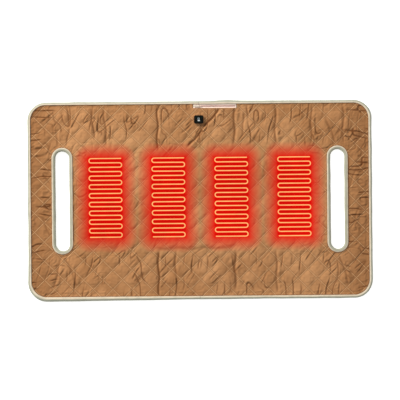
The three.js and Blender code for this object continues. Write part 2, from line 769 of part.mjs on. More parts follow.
function buttonCap() {
  const top = housingTopZ + BUTTON_PROUD;
  const lipZ = buttonLipTopZ - BUTTON_LIP_HEIGHT;
  const cap = prism(buttonShape(0), lipZ, top);
  const lip = prism(buttonShape(BUTTON_LIP), lipZ, buttonLipTopZ);
  const size = LENS_SIZE + 2 * CLEARANCE;
  const seat = centredShape(CONTROLLER_X, controllerY, size, size, LENS_CORNER + CLEARANCE);
  const seatZ = top - LENS_HEIGHT - CLEARANCE;
  return cut(join([cap, lip]), [prism(seat, seatZ, top + OVERRUN)]);
}

function buttonLens() {
  const top = housingTopZ + BUTTON_PROUD;
  const shape = centredShape(CONTROLLER_X, controllerY, LENS_SIZE, LENS_SIZE, LENS_CORNER);
  return prism(shape, top - LENS_HEIGHT, top);
}

function circuitBoard() {
  const shape = controllerShape(CONTROLLER_WALL + 2 * CLEARANCE);
  return prism(shape, boardZ, boardZ + CIRCUIT_BOARD);
}

function pushSwitch() {
  const shape = centredShape(CONTROLLER_X, controllerY, SWITCH_SIZE, SWITCH_SIZE);
  return prism(shape, onBoardZ, onBoardZ + SWITCH_HEIGHT);
}

function indicatorLed() {
  const x = CONTROLLER_X + SWITCH_SIZE;
  const y = controllerY + SWITCH_SIZE;
  return prism(centredShape(x, y, LED_SIZE, LED_SIZE), onBoardZ, onBoardZ + LED_HEIGHT);
}

// A screw from below, its head under the backplate.
function controllerScrew([x, y]) {
  const headZ = backplateZ - CLEARANCE - SCREW_HEAD;
  const head = bar('z', x, y, 0, SCREW_HEAD_RADIUS, headZ, headZ + SCREW_HEAD);
  const end = baseZ + BASE_PLATE - CLEARANCE;
  return join([head, bar('z', x, y, 0, SCREW_RADIUS, headZ, end)]);
}

// ---------- Assembly ----------

function addLayers(name, side, heaters) {
  const pocket = side === 0 ? pocketSpace(0, topZ) : [];
  const frontCuts = side === 0 ? frontCoverCuts() : [];
  const backWadding = innerLayer(side, backWaddingZ, backWaddingZ + BACK_WADDING);
  const film = innerLayer(side, filmZ, filmZ + REFLECTIVE_FILM);
  addPiece(`${name}_back_cover`, backCover(side), 'cover');
  addPiece(`${name}_back_wadding`, cut(backWadding, pocket), 'wadding');
  addPiece(`${name}_reflective_film`, cut(film, pocket), 'film');
  addPiece(`${name}_front_wadding`, frontWadding(side, heaters), 'wadding');
  addPiece(`${name}_front_cover`, cut(frontCover(side), frontCuts), 'cover');
}

function addPanels() {
  addLayers('left', -1, [1]);
  addLayers('centre', 0, [2, 3]);
  addLayers('right', 1, [4]);
  addPiece('left_edge_binding', edgeBinding(-1), 'binding');
  addPiece('right_edge_binding', edgeBinding(1), 'binding');
  addPiece('top_edge_binding', straightBinding(1), 'binding');
  addPiece('bottom_edge_binding', straightBinding(-1), 'binding');
  addPiece('left_slot_binding', slotBinding(-1), 'binding');
  addPiece('right_slot_binding', slotBinding(1), 'binding');
}

function addHeating() {
  [1, 2, 3, 4].forEach(addHeater);
  const stem = riser(CONTROLLER_X - RISER_OFFSET);
  addPiece('left_harness', join(leads(leadLines(-1))), 'lead');
  addPiece('centre_harness', join([...leads(leadLines(0)), stem]), 'lead');
  addPiece('right_harness', join(leads(leadLines(1))), 'lead');
  addPiece('inlet_lead', inletLead(), 'lead');
  addPiece('inlet_socket', inletSocket(), 'steel');
}

function addPocket() {
  addPiece('pocket_lining', pocketLining(), 'lining');
  addPiece('zip_tape_lower', zipTape(-1), 'tape');
  addPiece('zip_tape_upper', zipTape(1), 'tape');
  addPiece('zip_coil_lower', zipCoil(-1), 'coil');
  addPiece('zip_coil_upper', zipCoil(1), 'coil');
  addPiece('zip_stop_left', zipStop(zipLeft), 'zinc');
  addPiece('zip_stop_right', zipStop(zipRight - ZIP_STOP), 'zinc');
  addPiece('zip_slider', zipSlider(), 'zinc');
  addPiece('zip_pull', zipPull(), 'zinc');
}

function addController() {
  addPiece('controller_backplate', controllerBackplate(), 'housing');
  addPiece('controller_base', controllerBase(), 'housing');
  addPiece('controller_seal', controllerSeal(), 'seal');
  addPiece('controller_housing', controllerHousing(), 'housing');
  addPiece('circuit_board', circuitBoard(), 'board');
  addPiece('push_switch', pushSwitch(), 'steel');
  addPiece('indicator_led', indicatorLed(), 'led');
  addPiece('button_cap', buttonCap(), 'housing');
  addPiece('button_lens', buttonLens(), 'lens');
  screwPlaces().forEach((place, i) => {
    addPiece(`controller_screw_${i + 1}`, controllerScrew(place), 'steel');
  });
}

addPanels();
addHeating();
addPocket();
addController();

export default blanket;
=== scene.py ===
"""Looks of a quilted infrared heating blanket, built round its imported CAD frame.

Lengths are millimetres in the code and become metres in place(); materials work in metres. Everything
soft follows the front cover's surface: it is sewn along a diamond lattice and blown up between the
seams by a cloth simulation.
"""

import math

import bpy
import numpy as np
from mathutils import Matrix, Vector


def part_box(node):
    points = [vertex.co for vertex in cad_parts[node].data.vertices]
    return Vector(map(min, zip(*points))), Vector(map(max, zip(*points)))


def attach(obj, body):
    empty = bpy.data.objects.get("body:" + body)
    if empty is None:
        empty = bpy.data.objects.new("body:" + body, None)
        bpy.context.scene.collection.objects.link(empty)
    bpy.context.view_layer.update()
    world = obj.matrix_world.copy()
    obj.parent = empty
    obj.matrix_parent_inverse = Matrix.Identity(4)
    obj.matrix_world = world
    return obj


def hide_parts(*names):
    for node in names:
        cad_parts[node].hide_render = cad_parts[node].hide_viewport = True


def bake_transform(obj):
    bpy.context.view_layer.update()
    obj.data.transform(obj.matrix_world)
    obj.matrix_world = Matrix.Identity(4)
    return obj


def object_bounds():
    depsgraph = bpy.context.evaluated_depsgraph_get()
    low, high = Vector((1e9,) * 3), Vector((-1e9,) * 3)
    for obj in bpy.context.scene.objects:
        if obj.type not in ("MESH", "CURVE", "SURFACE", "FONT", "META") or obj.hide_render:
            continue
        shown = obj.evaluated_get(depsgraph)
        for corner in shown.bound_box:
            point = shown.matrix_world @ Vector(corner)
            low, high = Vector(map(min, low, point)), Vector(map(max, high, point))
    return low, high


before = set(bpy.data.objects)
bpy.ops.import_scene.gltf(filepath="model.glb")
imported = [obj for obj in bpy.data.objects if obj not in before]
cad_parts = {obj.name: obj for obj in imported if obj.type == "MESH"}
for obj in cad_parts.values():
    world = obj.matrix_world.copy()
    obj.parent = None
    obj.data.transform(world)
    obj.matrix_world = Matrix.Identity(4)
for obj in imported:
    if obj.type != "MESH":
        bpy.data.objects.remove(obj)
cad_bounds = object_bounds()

MM = 0.001


# ---------- Places, from the CAD ----------


def box(node):
    """A CAD node's lowest and highest corner, in millimetres."""
    low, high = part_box(node)
    return np.array(low) / MM, np.array(high) / MM


HALF_X, HALF_Y = (np.array(cad_bounds[1]) / MM)[:2]
CORNER = 75.0
BINDING = 12.0
SLOT_BINDING = 15.0
SLOT = box("right_slot_binding")
SLOT_X = (SLOT[0][0] + SLOT[1][0]) / 2
SLOT_HALF_X = (SLOT[1][0] - SLOT[0][0]) / 2 - SLOT_BINDING
SLOT_HALF_Y = (SLOT[1][1] - SLOT[0][1]) / 2 - SLOT_BINDING
HEATERS = [box(f"heating_wire_{n}") for n in (1, 2, 3, 4)]
HEATER_X = sorted({round(abs(low[0] + high[0]) / 2, 3) for low, high in HEATERS})
HEATER_Y = (HEATERS[0][0][1] + HEATERS[0][1][1]) / 2
HEATER_ROWS = 19
WIRE = 4.4
FIELD_HALF_X = (HEATERS[0][1][0] - HEATERS[0][0][0] - WIRE) / 2
FIELD_HALF_Y = (HEATERS[0][1][1] - HEATERS[0][0][1] - WIRE) / 2
FOLD_X = (HEATER_X[0] + HEATER_X[1]) / 2
CONTROLLER = box("controller_housing")
BUTTON = box("button_cap")
LENS = box("button_lens")
ZIP_TAPE = box("zip_tape_lower")
ZIP_LEFT, ZIP_RIGHT = ZIP_TAPE[0][0], ZIP_TAPE[1][0]
COILS = [box("zip_coil_lower"), box("zip_coil_upper")]
ZIP_Y = (COILS[0][0][1] + COILS[1][1][1]) / 2
NOTCH = 17.0  # the pocket mouth's width, between the front cover and the binding
NOTCH_Y = HALF_Y - BINDING - NOTCH
FRONT_TOP = box("centre_front_cover")[1][2]
SEAM_Z = FRONT_TOP - 2.4  # the front cover's outer face at a seam
BACK_SEAM_Z = 1.9

# The diamond lattice of seams
PITCH_X, PITCH_Y = 79.3, 78.0
ORIGIN_X, ORIGIN_Y = -277.9, -204.6
COVER_TUCK = 6.0  # how far the covers stop inside the outline, under the bindings


# ---------- Small helpers ----------


def rounded(x, y, half_x, half_y, radius):
    """Distance to a rounded rectangle's edge, below zero inside it."""
    qx = np.abs(x) - half_x + radius
    qy = np.abs(y) - half_y + radius
    outside = np.hypot(np.maximum(qx, 0), np.maximum(qy, 0))
    return outside + np.minimum(np.maximum(qx, qy), 0) - radius


def edge_distance(x, y):
    """How far a point is inside the blanket's outline."""
    return -rounded(x, y, HALF_X, HALF_Y, CORNER)


def slot_distance(x, y):
    """How far a point is outside the nearer hand slot."""
    return rounded(np.abs(x) - SLOT_X, y, SLOT_HALF_X, SLOT_HALF_Y, SLOT_HALF_X)


def house_distance(x, y):
    """How far a point is outside the controller."""
    low, high = CONTROLLER
    cx, cy = (low + high)[:2] / 2
    return rounded(x - cx, y - cy, (high[0] - low[0]) / 2, (high[1] - low[1]) / 2, 6)


def mouth_distance(x, y):
    """How far a point is outside the pocket's mouth."""
    cx, cy = (ZIP_LEFT + ZIP_RIGHT) / 2, NOTCH_Y + NOTCH / 2
    return rounded(x - cx, y - cy, (ZIP_RIGHT - ZIP_LEFT) / 2 + 1.5, NOTCH / 2, 1)


def smooth(value, low, high):
    """0 up to low, 1 from high on, and an S-curve between them."""
    t = np.clip((value - low) / (high - low), 0, 1)
    return t * t * (3 - 2 * t)


def directed(x, y, count, low, high, turn, spread, seed):
    """Random waves of the given lengths that run roughly along one direction."""
    rng = np.random.default_rng(seed)
    total = np.zeros_like(x)
    for _ in range(count):
        length, phase = rng.uniform(low, high), rng.uniform(0, 6.28)
        angle = turn + rng.normal(0, spread)
        total += np.sin((x * math.cos(angle) + y * math.sin(angle)) * 2 * math.pi / length + phase)
    return total / math.sqrt(count)


def waves(x, y, count, low, high, seed):
    """Soft random unevenness: waves of the given lengths in all directions."""
    rng = np.random.default_rng(seed)
    total = np.zeros_like(x)
    for _ in range(count):
        length, turn, phase = rng.uniform(low, high), rng.uniform(0, math.pi), rng.uniform(0, 6.28)
        total += np.sin((x * math.cos(turn) + y * math.sin(turn)) * 2 * math.pi / length + phase)
    return total / math.sqrt(count)


def lengths_along(path):
    """The distance along a path up to each of its points."""
    return np.concatenate([[0], np.cumsum(np.linalg.norm(np.diff(path, axis=0), axis=1))])


def unit(vectors):
    """Each row at length 1."""
    return vectors / np.linalg.norm(vectors, axis=1, keepdims=True)


def linear(*rgb):
    """A colour given as 8-bit display values, as the linear colour that shaders take."""
    values = [c / 255 for c in rgb]
    return tuple(c / 12.92 if c <= 0.04045 else ((c + 0.055) / 1.055) ** 2.4 for c in values) + (1.0,)


def place(name, points, faces, material, smooth_faces=True, attributes=None, normals=None):
    """A mesh object from points in millimetres. attributes are per-point numbers for its material."""
    mesh = bpy.data.meshes.new(name)
    points = np.asarray(points, float)
    mesh.from_pydata((points * MM).tolist(), [], [list(map(int, f)) for f in faces])
    mesh.materials.append(material)
    rest = mesh.attributes.new("rest", "FLOAT_VECTOR", "POINT")
    rest.data.foreach_set("vector", (points * MM).astype(np.float32).ravel())
    for key, values in (attributes or {}).items():
        layer = mesh.attributes.new(key, "FLOAT", "POINT")
        layer.data.foreach_set("value", np.asarray(values, np.float32))
    mesh.polygons.foreach_set("use_smooth", [smooth_faces] * len(mesh.polygons))
    mesh.update()
    if normals is not None:
        mesh.normals_split_custom_set_from_vertices(normals.tolist())
    obj = bpy.data.objects.new(name, mesh)
    bpy.context.scene.collection.objects.link(obj)
    return obj


def place_on(body, slot_name, nodes, name, shape, material, **more):
    """A piece that rides on a body and stands for CAD nodes."""
    obj = place(name, *shape, material, **more)
    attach(obj, body)
    if nodes:
        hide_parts(*nodes)
    return obj


def ring_faces(rings, count, closed):
    """Quads between successive rings of count points each, with the last ring joined to the first
    one, or with both ends capped."""
    faces = []
    for k in range(rings if closed else rings - 1):
        a, b = k * count, ((k + 1) % rings) * count
        for i in range(count):
            j = (i + 1) % count
            faces.append((a + i, a + j, b + j, b + i))
    if not closed:
        faces.append(tuple(range(count))[::-1])
        faces.append(tuple((rings - 1) * count + i for i in range(count)))
    return faces


def sweep(path, sides, ups, profile, closed=False):
    """Carries a closed profile of (side, up) points along a path. sides and ups are vectors, one for
    each point of the path or one for all."""
    profile = np.asarray(profile, float)
    sides, ups = (np.broadcast_to(np.asarray(v, float), path.shape) for v in (sides, ups))
    across = sides[:, None, :] * profile[None, :, :1]
    upward = ups[:, None, :] * profile[None, :, 1:2]
    points = (path[:, None, :] + across + upward).reshape(-1, 3)
    return points, ring_faces(len(path), len(profile), closed)


def tube(path, radius, sides=6):
    """A round tube along a path."""
    path = np.asarray(path, float)
    ahead = unit(np.gradient(path, axis=0))
    side = unit(np.cross(ahead, np.array([0.21, 0.13, 0.97])))
    up = np.cross(side, ahead)
    angles = np.linspace(0, 2 * math.pi, sides, endpoint=False)
    profile = np.stack([np.cos(angles), np.sin(angles)], 1) * radius
    return sweep(path, side, up, profile[::-1])


def rounded_ring(half_x, half_y, radius, steps=7):
    """Points round a rounded rectangle, anticlockwise."""
    angles = np.linspace(0, math.pi / 2, steps)
    points = []
    for turn, (sx, sy) in enumerate([(1, 1), (-1, 1), (-1, -1), (1, -1)]):
        a = angles + turn * math.pi / 2
        cx, cy = sx * (half_x - radius), sy * (half_y - radius)
        points.append(np.stack([cx + radius * np.cos(a), cy + radius * np.sin(a)], 1))
    return np.concatenate(points)


def loft(centre, levels, hollow=False):
    """A body through rounded rectangles of (half_x, half_y, radius, z). A hollow one joins its last
    level to its first; a full one is capped."""
    rings = []
    for half_x, half_y, radius, z in levels:
        ring = rounded_ring(half_x, half_y, radius) + np.array(centre[:2])
        rings.append(np.column_stack([ring, np.full(len(ring), z)]))
    return np.concatenate(rings), ring_faces(len(rings), len(rings[0]), hollow)


def join_parts(parts):
    """Several (points, faces) as one."""
    points, faces, first = [], [], 0
    for part_points, part_faces in parts:
        points.append(part_points)
        faces += [tuple(i + first for i in f) for f in part_faces]
        first += len(part_points)
    return np.concatenate(points), faces


def quad_faces(mask, number):
    """The kept cells of a grid as quads of point numbers."""
    i, j = np.nonzero(mask)
    return np.stack([number[i, j], number[i + 1, j], number[i + 1, j + 1], number[i, j + 1]], 1)


def close_sheet(quads, count):
    """A sheet's faces with those of its copy, count points on, and the walls round the rim."""
    edges = np.concatenate([quads[:, [k, (k + 1) % 4]] for k in range(4)])
    key = edges[:, 0].astype(np.int64) * count + edges[:, 1]
    back = edges[:, 1].astype(np.int64) * count + edges[:, 0]
    rim = edges[~np.isin(key, back)]
    walls = np.stack([rim[:, 1], rim[:, 0], rim[:, 0] + count, rim[:, 1] + count], 1)
    return np.concatenate([quads, quads[:, ::-1] + count, walls])


# ---------- Materials ----------


class Paint:
    """A procedural material: a Principled shader and short ways to add nodes before it."""

    def __init__(self, name, roughness=0.6, metallic=0.0, **sockets):
        self.material = bpy.data.materials.new(name)
        self.material.use_nodes = True
        self.tree = self.material.node_tree
        self.shader = self.tree.nodes["Principled BSDF"]
        self.shader.inputs["Roughness"].default_value = roughness
        self.shader.inputs["Metallic"].default_value = metallic
        for key, value in sockets.items():
            self.shader.inputs[key.replace("_", " ")].default_value = value

    def node(self, kind, inputs=None, **settings):
        n = self.tree.nodes.new("ShaderNode" + kind)
        for key, value in settings.items():
            setattr(n, key, value)
        for key, value in (inputs or {}).items():
            self.put(n.inputs[key], value)
        return n

    def put(self, socket, value):
        if isinstance(value, bpy.types.NodeSocket):
            self.tree.links.new(value, socket)
        else:
            socket.default_value = value

    def math(self, operation, a, b=None, c=None, clamp=False):
        values = {i: v for i, v in enumerate((a, b, c)) if v is not None}
        return self.node("Math", values, operation=operation, use_clamp=clamp).outputs[0]

    def mix(self, factor, a, b):
        return self.node("Mix", {0: factor, 6: a, 7: b}, data_type="RGBA").outputs[2]

    def mix_value(self, factor, a, b):
        return self.node("Mix", {0: factor, 2: a, 3: b}).outputs[0]

    def attribute(self, name, output="Fac"):
        return self.node("Attribute", attribute_name=name).outputs[output]

    def own(self):
        """The object's own coordinates."""
        return self.node("TexCoord").outputs["Object"]

    def noise(self, at, scale, detail=3.0, roughness=0.5):
        inputs = {"Vector": at, "Scale": scale, "Detail": detail, "Roughness": roughness}
        return self.node("TexNoise", inputs).outputs["Fac"]

    def ranged(self, value, low, high, to_low=0.0, to_high=1.0, kind="SMOOTHSTEP"):
        inputs = {0: value, 1: low, 2: high, 3: to_low, 4: to_high}
        return self.node("MapRange", inputs, interpolation_type=kind).outputs[0]

    def stretched(self, at, scale, turn=0.0):
        inputs = {"Vector": at, "Rotation": (0.0, 0.0, turn), "Scale": scale}
        return self.node("Mapping", inputs).outputs[0]

    def bump(self, height, distance, strength=1.0, before=None):
        inputs = {"Height": height, "Distance": distance, "Strength": strength}
        if before is not None:
            inputs["Normal"] = before
        return self.node("Bump", inputs).outputs[0]

    def finish(self, colour=None, roughness=None, normal=None):
        for key, value in (("Base Color", colour), ("Roughness", roughness), ("Normal", normal)):
            if value is not None:
                self.put(self.shader.inputs[key], value)
        return self.material


def weave(paint, at, thread):
    """A plain weave's bump: threads of the given width, in metres."""
    rows = []
    for turn in (0.0, math.pi / 2):
        turned = paint.stretched(at, (1.0, 1.0, 1.0), turn)
        inputs = {"Vector": turned, "Scale": 0.05 / thread, "Distortion": 0.6, "Detail": 1.0}
        rows.append(paint.node("TexWave", inputs).outputs["Fac"])
    return paint.bump(paint.math("MAXIMUM", *rows), 0.0003, 0.5)


def cloth_paint(name, tones, thread=0.0006, roughness=0.75, patch=40.0):
    """Woven cloth in three tones, blotched softly."""
    paint = Paint(name, roughness)
    at = paint.own()
    soft = paint.noise(at, patch, 4.0)
    fine = paint.noise(at, 900.0, 2.0)
    base = paint.mix(paint.ranged(soft, 0.35, 0.65), linear(*tones[0]), linear(*tones[1]))
    base = paint.mix(paint.ranged(fine, 0.45, 0.75, 0.0, 0.5), base, linear(*tones[2]))
    return paint.finish(base, None, weave(paint, at, thread))


def hard_paint(name, dark, light, roughness, grain=350.0, depth=0.00012, metallic=0.0, **sockets):
    """Moulded plastic or metal with a fine grain and a gloss made uneven by wear."""
    paint = Paint(name, roughness, metallic, **sockets)
    at = paint.own()
    cloudy = paint.noise(at, 60.0, 4.0)
    fine = paint.noise(at, grain * 6, 2.0)
    base = paint.mix(paint.ranged(cloudy, 0.3, 0.7), linear(*dark), linear(*light))
    gloss = paint.ranged(cloudy, 0.3, 0.7, roughness - 0.08, roughness + 0.08)
    return paint.finish(base, gloss, paint.bump(fine, depth, 0.4))


def layer_paint(name, dark, light, roughness, scale, depth, metallic=0.0):
    """Fibre or foil with clumps at the given scale."""
    paint = Paint(name, roughness, metallic)
    clumps = paint.noise(paint.own(), scale, 6.0, 0.65)
    base = paint.mix(paint.ranged(clumps, 0.35, 0.65), linear(*dark), linear(*light))
    return paint.finish(base, None, paint.bump(clumps, depth, 0.6))


SEAM_HALF = 2.9  # each stitch row to its seam's middle
STITCH = 3.4  # one stitch and its gap
SEAM_WEIGHTS = (("ADD", "SUBTRACT", 0.85), ("SUBTRACT", "ADD", 1.0))  # one direction shows more
GLOW_REACH = 0.062  # how far the red glow fades out beyond the wires
GLOW = [(226, 5, 0), (228, 8, 4)]  # inside the heated fields, and round them
# the cover's colour darkened to near black under the painted red glow, so that the glow's red stays pure
DARKENED_UNDER_GLOW = linear(26, 1, 0)  # the cover's own colour where the glow covers it
WIRE_TINT = [(255, 200, 122), (255, 116, 54)]  # a wire's middle and its sides
NYLON = {
    name: linear(*rgb)
    for name, rgb in {
        "plain": (160, 112, 71),
        "light": (178, 129, 86),
        "dark": (130, 86, 50),
        # fibre streaks, and the painted highlight on each seam's ridge between its stitch rows
        "fibre_streak_and_ridge_highlight": (196, 152, 108),
        # painted shade in the grooves of the stitch rows
        "stitch_groove_shade": (84, 49, 22),
        # painted shade at the bottoms of the creases and beside the bindings
        "painted_crease_shade": (78, 38, 12),
    }.items()
}


def seam_rows(paint, at):
    """Two rows of stitches beside each seam: (how near a row, how much a stitch shows, how near the
    ridge between them), from the lattice's formula."""
    split = paint.node("SeparateXYZ", {0: at})
    a = paint.math("MULTIPLY_ADD", split.outputs[0], 1 / (PITCH_X * MM), -ORIGIN_X / PITCH_X)
    b = paint.math("MULTIPLY_ADD", split.outputs[1], 1 / (PITCH_Y * MM), -ORIGIN_Y / PITCH_Y)
    along = {kind: paint.math(kind, a, b) for kind in ("ADD", "SUBTRACT")}
    spacing = 1 / math.hypot(1 / PITCH_X, 1 / PITCH_Y)
    found = []
    for this, other, weight in SEAM_WEIGHTS:
        away = paint.math("MULTIPLY", paint.math("PINGPONG", along[this], 0.5), spacing)
        offset = paint.math("ABSOLUTE", paint.math("SUBTRACT", away, SEAM_HALF))
        row = paint.ranged(offset, 0.3, 1.3, weight, 0.0)
        dash = paint.math("PINGPONG", paint.math("MULTIPLY", along[other], spacing / STITCH), 0.5)
        stitch = paint.math("MULTIPLY", row, paint.ranged(dash, 0.08, 0.2))
        found.append((row, stitch, paint.ranged(away, 0.6, 2.2, weight, 0.0)))
    return [paint.math("MAXIMUM", *pair) for pair in zip(*found)]


def heat(paint, at):
    """How strongly the cover glows, 1 in the four heated fields and fading outside them, and how far
    outside them a point is."""
    split = paint.node("SeparateXYZ", {0: at})
    x = paint.math("ABSOLUTE", split.outputs[0])
    near = [paint.math("ABSOLUTE", paint.math("SUBTRACT", x, c * MM)) for c in HEATER_X]
    dx = paint.math("SUBTRACT", paint.math("MINIMUM", *near), FIELD_HALF_X * MM)
    dy = paint.math("ABSOLUTE", paint.math("SUBTRACT", split.outputs[1], HEATER_Y * MM))
    dy = paint.math("SUBTRACT", dy, FIELD_HALF_Y * MM)
    dx, dy = paint.math("MAXIMUM", dx, 0.0), paint.math("MAXIMUM", dy, 0.0)
    square = paint.math("ADD", paint.math("MULTIPLY", dx, dx), paint.math("MULTIPLY", dy, dy))
    away = paint.math("SQRT", square)
    uneven = paint.ranged(paint.noise(at, 9.0, 2.0), 0.3, 0.7, 0.92, 1.06, "LINEAR")
    level = paint.ranged(paint.math("MULTIPLY", away, uneven), 0.0, GLOW_REACH, 1.0, 0.0, "LINEAR")
    return level, away


def between_rows(paint, at, away):
    """Brightness inside the fields: strongest at each row of wire, weaker midway."""
    top = HEATER_Y * MM + FIELD_HALF_Y * MM
    pitch = 2 * FIELD_HALF_Y * MM / (HEATER_ROWS - 1)
    y = paint.node("SeparateXYZ", {0: at}).outputs[1]
    phase = paint.math("PINGPONG", paint.math("MULTIPLY_ADD", y, -1 / pitch, top / pitch), 0.5)
    dim = paint.ranged(phase, 0.1, 0.5, 1.06, 0.86)
    return paint.mix_value(paint.ranged(away, 0.0, 0.006), dim, 1.0)


def nylon_base(paint, at, broad, patch, seams):
    """Brown nylon's colour: blotched, darker in patches towards both ends, streaked and stitched, with
    painted shade in the stitch rows and creases and a painted highlight on each seam's ridge.
    """
    row, stitch, near = seams
    fibre = paint.noise(paint.stretched(at, (420.0, 2600.0, 1.0)), 1.0, 2.0)
    toward_ends = paint.math("ABSOLUTE", paint.node("SeparateXYZ", {0: at}).outputs[0])
    blotch = paint.ranged(broad, 0.3, 0.6, 0.25, 0.75)
    toward_ends = paint.math("MULTIPLY", paint.ranged(toward_ends, 0.52, 0.68), blotch)
    base = paint.mix(paint.ranged(broad, 0.35, 0.65), NYLON["plain"], NYLON["light"])
    layers = (
        (paint.ranged(patch, 0.35, 0.75, 0.0, 0.45), "dark"),
        (toward_ends, "dark"),
        (paint.ranged(fibre, 0.4, 0.8, 0.0, 0.18), "fibre_streak_and_ridge_highlight"),
        # painted highlight along the ridge between each seam's two stitch rows
        (paint.math("MULTIPLY", near, 0.7), "fibre_streak_and_ridge_highlight"),
        # painted shade in the grooves of the stitch rows
        (paint.math("MULTIPLY", row, 0.6), "stitch_groove_shade"),
        (paint.math("MULTIPLY", stitch, 0.35), "light"),
        # painted shade at the bottoms of the creases and beside the bindings
        (paint.math("MULTIPLY", paint.attribute("painted_crease_shade"), 0.8), "painted_crease_shade"),
    )
    for amount, tone in layers:
        base = paint.mix(amount, base, NYLON[tone])
    return base


def nylon_bump(paint, at, seams):
    """The cover's relief: slanting wrinkles, stitches and a fine grain."""
    row, stitch, _ = seams
    slants = [paint.noise(paint.stretched(at, (1.0, 5.0, 1.0), t), 26.0, 3.0) for t in (0.8, -0.8)]
    wrinkle = paint.math("MULTIPLY", paint.math("ADD", *slants), 0.5)
    normal = paint.bump(wrinkle, 0.004, 0.35)
    sewn = paint.math("SUBTRACT", stitch, paint.math("MULTIPLY", row, 1.6))
    normal = paint.bump(sewn, 0.0007, 0.8, normal)
    return paint.bump(paint.noise(at, 1500.0, 1.0), 0.00012, 0.4, normal)


def add_glow(paint, at, broad, patch, base):
    """Lets the heated fields glow with a painted red glow, and gives back the cover's colour there, darkened
    to near black under the glow.
    """
    level, away = heat(paint, at)
    cold = paint.math("SUBTRACT", 1.0, level, clamp=True)
    tint = paint.mix(paint.ranged(away, 0.0, 0.008), *(linear(*rgb) for rgb in GLOW))
    uneven = paint.math("MULTIPLY_ADD", patch, 0.5, paint.math("MULTIPLY", broad, 0.5))
    shade = paint.ranged(uneven, 0.3, 0.7, 0.86, 1.06)
    inside = paint.math("MULTIPLY", shade, between_rows(paint, at, away))
    paint.put(paint.shader.inputs["Emission Color"], tint)
    paint.put(paint.shader.inputs["Emission Strength"], paint.math("MULTIPLY", level, inside))
    return paint.mix(cold, DARKENED_UNDER_GLOW, base)


def cover_paint(name, glowing):
    """Brown satin nylon, double-stitched along the lattice, with the heat's red glow on the front."""
    sheen = {"Sheen_Weight": 0.02, "Sheen_Roughness": 0.4, "Sheen_Tint": linear(255, 206, 160)}
    paint = Paint(name, 0.6, Specular_IOR_Level=0.07, **sheen)
    at = paint.attribute("rest", "Vector")
    broad, patch = paint.noise(at, 3.2, 3.0), paint.noise(at, 22.0, 4.0, 0.6)
    seams = seam_rows(paint, at)
    base = nylon_base(paint, at, broad, patch, seams)
    if glowing:
        base = add_glow(paint, at, broad, patch, base)
    return paint.finish(base, paint.ranged(patch, 0.3, 0.7, 0.54, 0.68), nylon_bump(paint, at, seams))


def binding_paint(name, tones, turn):
    """Woven tape that goes from a darker, greener outer side to a cream inner one, at turn across it; the
    outer side's darker tone is partly painted shade of the tape's rounded edge.
    """
    paint = Paint(name, 0.8, Sheen_Weight=0.2)
    at = paint.attribute("rest", "Vector")
    across = paint.attribute("across")
    soft = paint.noise(at, 45.0, 4.0)
    side = paint.ranged(across, turn - 0.1, turn + 0.1)
    base = paint.mix(side, linear(*tones[0]), linear(*tones[1]))
    base = paint.mix(paint.ranged(soft, 0.4, 0.75, 0.0, 0.3), base, linear(*tones[2]))
    inputs = {"Vector": at, "Scale": 260.0, "Distortion": 1.5, "Detail": 1.0}
    rib = paint.node("TexWave", inputs, bands_direction="DIAGONAL")
    normal = paint.bump(rib.outputs["Fac"], 0.0004, 0.35)
    return paint.finish(base, None, paint.bump(paint.noise(at, 120.0, 3.0), 0.0012, 0.3, normal))


def wire_paint():
    """A heating wire's light: pale in the middle, orange at its sides."""
    paint = Paint("glowing_wire", 0.5)
    at = paint.attribute("rest", "Vector")
    side = paint.ranged(paint.attribute("across"), 0.2, 0.85)
    level = paint.ranged(paint.noise(at, 30.0, 3.0), 0.3, 0.7, 0.92, 1.05)
    tint = paint.mix(side, *(linear(*rgb) for rgb in WIRE_TINT))
    paint.put(paint.shader.inputs["Emission Color"], tint)
    paint.put(paint.shader.inputs["Emission Strength"], level)
    return paint.finish(linear(40, 14, 8), None, paint.bump(paint.noise(at, 700.0), 0.0002, 0.3))


# ---------- The covers ----------

# Creases that the blanket has from lying folded: two ends, depth, half width, and the step beyond
CREASES = [
    ((84, 374), (15, 291), 4.5, 7, 0.8),
    ((15, 291), (-49, 214), 4.0, 7, 0.5),
    ((-28, 318), (-72, 270), 2.6, 6, 0.0),
    ((-42, 388), (-33, 366), 3.0, 5, 0.0),
    ((-538, 384), (-530, 300), 2.8, 6, 0.6),
    ((-530, 300), (-541, 222), 2.4, 6, 0.3),
    ((-578, 280), (-577, 220), 2.2, 6, 0.0),
    ((-441, 380), (-428, 250), 2.6, 7, 0.5),
    ((-390, 378), (-377, 222), 2.6, 7, 0.5),
    ((-170, 388), (-171, 200), 3.2, 7, 1.2),
    ((-171, -206), (-170, -396), 3.2, 7, 1.2),
    ((-102, -206), (-101, -310), 2.4, 7, 0.4),
    ((143, 386), (141, 222), 2.4, 8, 1.2),
    ((142, -206), (141, -370), 2.4, 8, 1.2),
    ((180, 354), (178, 262), 2.2, 6, 0.3),
    ((196, 388), (195, 330), 3.0, 6, 0.6),
    ((310, 386), (308, 222), 2.6, 7, 0.8),
    ((309, -206), (310, -380), 2.4, 7, 0.6),
    ((456, 386), (455, 226), 2.2, 7, 0.6),
    ((586, 384), (584, 224), 2.4, 7, 0.4),
    ((-683, 213), (-628, 214), 3.0, 5, 0.0),
    ((-683, 183), (-628, 182), 3.0, 5, 0.0),
    ((-183, -196), (142, -194), 2.0, 9, 0.4),
    ((-640, 120), (-606, 60), 2.0, 6, 0.0),
    ((-650, -60), (-604, -150), 2.0, 6, 0.0),
    ((640, 130), (604, 40), 2.0, 6, 0.0),
    ((648, -40), (606, -130), 2.0, 6, 0.0),
    ((-566, -226), (-600, -360), 2.4, 7, 0.0),
    ((-552, -224), (-500, -350), 2.2, 7, 0.0),
    ((566, -226), (604, -352), 2.4, 7, 0.0),
    ((552, 224), (516, 330), 2.2, 7, 0.0),
]
